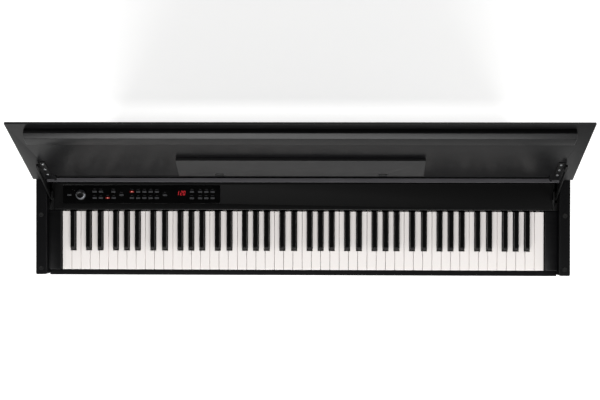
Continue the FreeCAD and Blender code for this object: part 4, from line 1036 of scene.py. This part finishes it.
class PIANO_OT_black_keys(bpy.types.Operator):
    """Black keys: tapered, with a sloping front and rounded upper edges."""
    bl_idname = "piano.black_keys"
    bl_label = "Black keys"

    def execute(self, context):
        sizes = context.scene.piano_sizes
        board = keyboard(sizes)
        for letter in SHARP_LETTERS:
            node = f"black_keys_{letter}_sharp"
            near_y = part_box(node)[0].y
            far_y = near_y + sizes.sharp_length
            mesh = bmesh.new()
            mesh.edges.layers.float.new("bevel_weight_edge")
            for index in indices_of(letter):
                middle = sharp_beside(board, index)
                if middle is None:
                    continue
                foot, crown = sizes.sharp_width / 2, sizes.sharp_crown / 2
                plans = ((foot, near_y, board["foot"]), (foot, near_y, board["top"]),
                         (crown, near_y + sizes.sharp_slope, board["top"] + sizes.sharp_high))
                rings = loft(mesh, [[(middle - half, y, z), (middle + half, y, z),
                                     (middle + half, far_y, z), (middle - half, far_y, z)]
                                    for half, y, z in plans])
                mark_edges(mesh, rings[2], {"front": 1, "top": 0.9, "corner": 0.75}, rings[1])
                mark_edges(mesh, rings[1], {"front": 0.6, "top": 0, "corner": 0.6}, rings[0])
                key_tail(mesh, sizes, board, middle)
            made = piece(f"black_key_tops_{letter}", mesh, ["black_key"], node, [node],
                         sharp=None)
            ease_edges(made, sizes.sharp_round, 5, weighted=True)
        return {"FINISHED"}


# ---------------------------------------------------------------- underside and inside

class PIANO_OT_action(bpy.types.Operator):
    """Key frame, pivot rod, felts and circuit boards inside the body."""
    bl_idname = "piano.action"
    bl_label = "Inside parts"

    def execute(self, context):
        dress({"steel": ["key_frame", "speakers"], "felt": ["key_felt"],
               "solder_mask": ["circuit_boards"],
               "zinc": ["key_pivot_rod", "pedal_axle", "pedal_springs"]})
        return {"FINISHED"}


class PIANO_OT_grilles(bpy.types.Operator):
    """Perforated steel discs over the speakers."""
    bl_idname = "piano.grilles"
    bl_label = "Speaker grilles"

    def execute(self, context):
        sizes = context.scene.piano_sizes
        mesh = bmesh.new()
        pitch, hole = sizes.hole_pitch, sizes.hole_pitch * 0.3
        thick, lip = 0.8 * MM, 5 * MM
        for low, high in solids("speaker_grilles"):
            place, radius = foot_of(low, high), (high.x - low.x) / 2
            rim = radius - lip
            loops = [circle(place, rim, segments=64)]
            reach = int(rim / pitch) + 1
            for row in range(-reach, reach + 1):
                for column in range(-reach, reach + 1):
                    x, y = pitch * (column + row * 0.5), pitch * row * math.sqrt(0.75)
                    if math.hypot(x, y) <= rim - pitch * 0.7:
                        loops.append(circle(place @ Matrix.Translation((x, y, 0)), hole,
                                            segments=10))
            edges = []
            for loop in loops:
                edges += closed_edges(mesh, [mesh.verts.new(point) for point in loop])
            filled = bmesh.ops.triangle_fill(mesh, use_beauty=True, edges=edges)
            faces = [item for item in filled["geom"] if isinstance(item, bmesh.types.BMFace)]
            raised = bmesh.ops.extrude_face_region(mesh, geom=faces)
            moved = [item for item in raised["geom"] if isinstance(item, bmesh.types.BMVert)]
            bmesh.ops.translate(mesh, verts=moved, vec=(0, 0, thick))
            height = high.z - low.z
            profile = [(rim - 0.5 * MM, thick * 0.2), (radius - 1.5 * MM, 0),
                       (radius - 0.3 * MM, height * 0.4),
                       (radius, height), (rim - 0.5 * MM, height)]
            tube(mesh, place, profile, 64)
        piece("speaker_covers", mesh, ["steel"], "cabinet", ["speaker_grilles"])
        return {"FINISHED"}


class PIANO_OT_sockets(bpy.types.Operator):
    """Headphone box, rear socket box and the metal collars of their sockets."""
    bl_idname = "piano.sockets"
    bl_label = "Sockets"

    def execute(self, context):
        sizes = context.scene.piano_sizes
        eased_copy("headphone_case", "headphone_box", "abs", sizes.moulded_ease)
        eased_copy("rear_socket_case", "socket_box", "abs", sizes.moulded_ease)
        mesh = bmesh.new()
        bore, collar, proud = 3.3 * MM, 5.4 * MM, 1.2 * MM
        for node, toward, places in (("headphone_box", -1, (-12 * MM, 12 * MM)),
                                     ("socket_box", 1, (-15 * MM, 15 * MM, 45 * MM))):
            low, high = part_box(node)
            middle = (low + high) / 2
            face = low.y if toward < 0 else high.y
            for offset in places:
                place = Matrix.Translation((middle.x + offset, face, middle.z))
                place = place @ Matrix.Rotation(-toward * math.pi / 2, 4, "X")
                tube(mesh, place, [(bore, 0), (collar, 0), (collar, proud * 0.7),
                                   (collar - 0.5 * MM, proud), (bore + 0.4 * MM, proud),
                                   (bore, proud * 0.7)])
        piece("socket_collars", mesh, ["zinc"], "cabinet")
        return {"FINISHED"}


# ---------------------------------------------------------------- pedals and feet

def half_width(distance, tip, neck):
    """Half the width of a pedal, this far behind the tip of its toe."""
    if distance < tip:
        return tip * math.sqrt(max(0, 1 - (1 - distance / tip) ** 2))
    share = min(1, max(0, (distance - tip * 1.6) / (tip * 2.4)))
    return tip + (neck - tip) * share * share * (3 - 2 * share)


class PIANO_OT_pedals(bpy.types.Operator):
    """Polished pedals with a wide rounded toe and a crowned top."""
    bl_idname = "piano.pedals"
    bl_label = "Pedals"

    def execute(self, context):
        case_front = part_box("pedal_case")[0].y
        neck, centre_z, thick = 10 * MM, 88 * MM, 6 * MM
        bore, boss = 4.06 * MM, 7.4 * MM
        for node in ("pedal_soft", "pedal_sostenuto", "pedal_damper"):
            low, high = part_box(node)
            middle, tip = (low.x + high.x) / 2, (high.x - low.x) / 2
            reach = case_front - low.y + 30 * MM
            places = [tip * (1 - math.cos(math.pi / 2 * k / 12)) for k in range(1, 13)]
            places += [tip + (reach - tip) * k / 24 for k in range(1, 25)]
            places += [high.y - low.y]
            rings = []
            for distance in places:
                half = half_width(distance, tip, neck)
                depth = thick * min(1, 0.35 + 0.65 * half / tip) if distance < tip else thick
                ring = []
                for k in range(24):
                    angle = math.tau * k / 24
                    across, upward = math.cos(angle), math.sin(angle)
                    u = math.copysign(abs(across) ** 0.55, across) * half
                    v = math.copysign(abs(upward) ** 0.7, upward) * depth / 2
                    ring.append((middle + u, low.y + distance, centre_z + v))
                rings.append(ring)
            mesh = bmesh.new()
            loft(mesh, rings)
            hub = Matrix.Translation((middle - neck, joint(f"{node}_press")["pos_m"][1], centre_z))
            hub = hub @ Matrix.Rotation(math.pi / 2, 4, "Y")
            tube(mesh, hub, [(bore, 0), (boss, 0), (boss, neck * 2), (bore, neck * 2)])
            piece(node.replace("pedal_", "pedal_lever_"), mesh, ["brass"], node,
                  [node], sharp=55)
        return {"FINISHED"}


class PIANO_OT_pedal_case(bpy.types.Operator):
    """Moulded case round the pedals' pivots."""
    bl_idname = "piano.pedal_case"
    bl_label = "Pedal case"

    def execute(self, context):
        sizes = context.scene.piano_sizes
        eased_copy("pedal_housing", "pedal_case", "abs", sizes.moulded_ease)
        return {"FINISHED"}


class PIANO_OT_feet(bpy.types.Operator):
    """Glides under the side panels and the adjustable foot under the pedal case."""
    bl_idname = "piano.feet"
    bl_label = "Feet"

    def execute(self, context):
        mesh = bmesh.new()
        for low, high in solids("floor_feet"):
            rise, radius = high.z - low.z, (high.x - low.x) / 2
            lathe(mesh, [(radius * 0.8, 0, 0), (radius * 0.95, rise * 0.12, 0),
                         (radius, rise * 0.35, 0), (radius, rise * 0.75, 0),
                         (radius * 0.9, rise, 0)], foot_of(low, high), 32)
        piece("glides", mesh, ["rubber"], "cabinet", ["floor_feet"])
        low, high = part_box("pedal_support_foot")
        pad, rise = 12 * MM, high.z - low.z
        radius, stem, pitch = (high.x - low.x) / 2, 5 * MM, 2 * MM
        profile = [(radius * 0.9, 0, 0), (radius, pad * 0.15, 0), (radius, pad * 0.7, 2),
                   (radius * 0.94, pad * 0.92, 2), (radius * 0.85, pad, 0), (stem, pad, 0)]
        turns = int((rise - pad) / pitch)
        for k in range(turns):
            base = pad + (rise - pad) * (k + 0.5) / turns
            profile += [(stem, base - 0.5 * MM, 0), (stem - 0.8 * MM, base + 0.5 * MM, 0)]
        profile.append((stem, rise, 0))
        mesh = bmesh.new()
        lathe(mesh, profile, foot_of(low, high), 72, (0.5 * MM, 24))
        piece("support_foot", mesh, ["rubber"], "cabinet", ["pedal_support_foot"])
        return {"FINISHED"}


# ---------------------------------------------------------------- stage

class PIANO_OT_stage(bpy.types.Operator):
    """Pale floor, soft light all round with a darker ceiling, and the camera."""
    bl_idname = "piano.stage"
    bl_label = "Stage"

    def execute(self, context):
        scene = bpy.context.scene
        mesh = bmesh.new()
        bmesh.ops.create_grid(mesh, x_segments=8, y_segments=8, size=FLOOR_HALF)
        data = bpy.data.meshes.new("studio_floor")
        mesh.to_mesh(data)
        mesh.free()
        data.materials.append(material("floor"))
        floor = bpy.data.objects.new("studio_floor", data)
        scene.collection.objects.link(floor)

        world = bpy.data.worlds.new("studio")
        scene.world = world
        world.use_nodes = True
        tree = world.node_tree
        tree.nodes.clear()
        own = add(tree, "ShaderNodeTexCoord")
        parts = add(tree, "ShaderNodeSeparateXYZ", links={"Vector": own.outputs["Generated"]})
        ramp = add(tree, "ShaderNodeValToRGB", links={"Fac": parts.outputs["Z"]})
        stops = ramp.color_ramp.elements
        stops[0].position, stops[0].color = 0.42, (1, 1, 1, 1)
        stops[1].position, stops[1].color = 0.66, (0.01, 0.01, 0.01, 1)
        rear = add(tree, "ShaderNodeMapRange", {"From Min": -1.0, "To Min": 0.85, "To Max": 1.6},
                   {"Value": parts.outputs["Y"]})
        sky = add(tree, "ShaderNodeBackground",
                  links={"Color": ramp.outputs["Color"], "Strength": rear.outputs["Result"]})
        add(tree, "ShaderNodeOutputWorld", links={"Surface": sky.outputs[0]})

        for name, spot, width, depth, power in SOFTBOXES:
            lamp = bpy.data.lights.new(name, "AREA")
            lamp.shape = "RECTANGLE"
            lamp.size = width
            lamp.size_y = depth
            lamp.energy = power
            made = bpy.data.objects.new(name, lamp)
            made.location = spot
            toward = Vector(LIGHT_AIM) - Vector(spot)
            made.rotation_euler = toward.to_track_quat("-Z", "Y").to_euler()
            made.visible_camera = False
            scene.collection.objects.link(made)

        camera = bpy.data.cameras.new("camera")
        camera.lens = CAMERA_LENS
        camera.sensor_width = 36
        camera.shift_x, camera.shift_y = CAMERA_SHIFT
        camera.clip_end = 40
        made = bpy.data.objects.new("camera", camera)
        made.location = CAMERA_PLACE
        made.rotation_euler = [math.radians(angle) for angle in CAMERA_TURN]
        scene.collection.objects.link(made)
        scene.camera = made
        scene.view_settings.view_transform = "Standard"
        return {"FINISHED"}


# ---------------------------------------------------------------- operators and panel

OPERATORS = (
    PIANO_OT_boards,
    PIANO_OT_lid,
    PIANO_OT_music_rest,
    PIANO_OT_stays,
    PIANO_OT_screws,
    PIANO_OT_panel,
    PIANO_OT_buttons,
    PIANO_OT_knob,
    PIANO_OT_display,
    PIANO_OT_print,
    PIANO_OT_white_keys,
    PIANO_OT_black_keys,
    PIANO_OT_action,
    PIANO_OT_grilles,
    PIANO_OT_sockets,
    PIANO_OT_pedals,
    PIANO_OT_pedal_case,
    PIANO_OT_feet,
    PIANO_OT_stage,
)


class PIANO_PT_pieces(bpy.types.Panel):
    """Lists the sizes, the colours and a button for each piece."""
    bl_label = "Digital Piano"
    bl_idname = "PIANO_PT_pieces"
    bl_space_type = "VIEW_3D"
    bl_region_type = "UI"
    bl_category = "Piano"

    def draw(self, context):
        column = self.layout.column(align=True)
        for item in OPERATORS:
            column.operator(item.bl_idname)
        for group in (context.scene.piano_sizes, context.scene.piano_colours):
            box = self.layout.box()
            for name in group.__annotations__:
                box.prop(group, name)


CLASSES = [PianoSizes, PianoColours, *OPERATORS, PIANO_PT_pieces]


def register():
    for item in CLASSES:
        bpy.utils.register_class(item)
    bpy.types.Scene.piano_sizes = bpy.props.PointerProperty(type=PianoSizes)
    bpy.types.Scene.piano_colours = bpy.props.PointerProperty(type=PianoColours)


def unregister():
    del bpy.types.Scene.piano_colours
    del bpy.types.Scene.piano_sizes
    for item in reversed(CLASSES):
        bpy.utils.unregister_class(item)


def main():
    register()
    for item in OPERATORS:
        getattr(bpy.ops.piano, item.bl_idname.split(".")[1])()


if __name__ == "__main__":
    main()
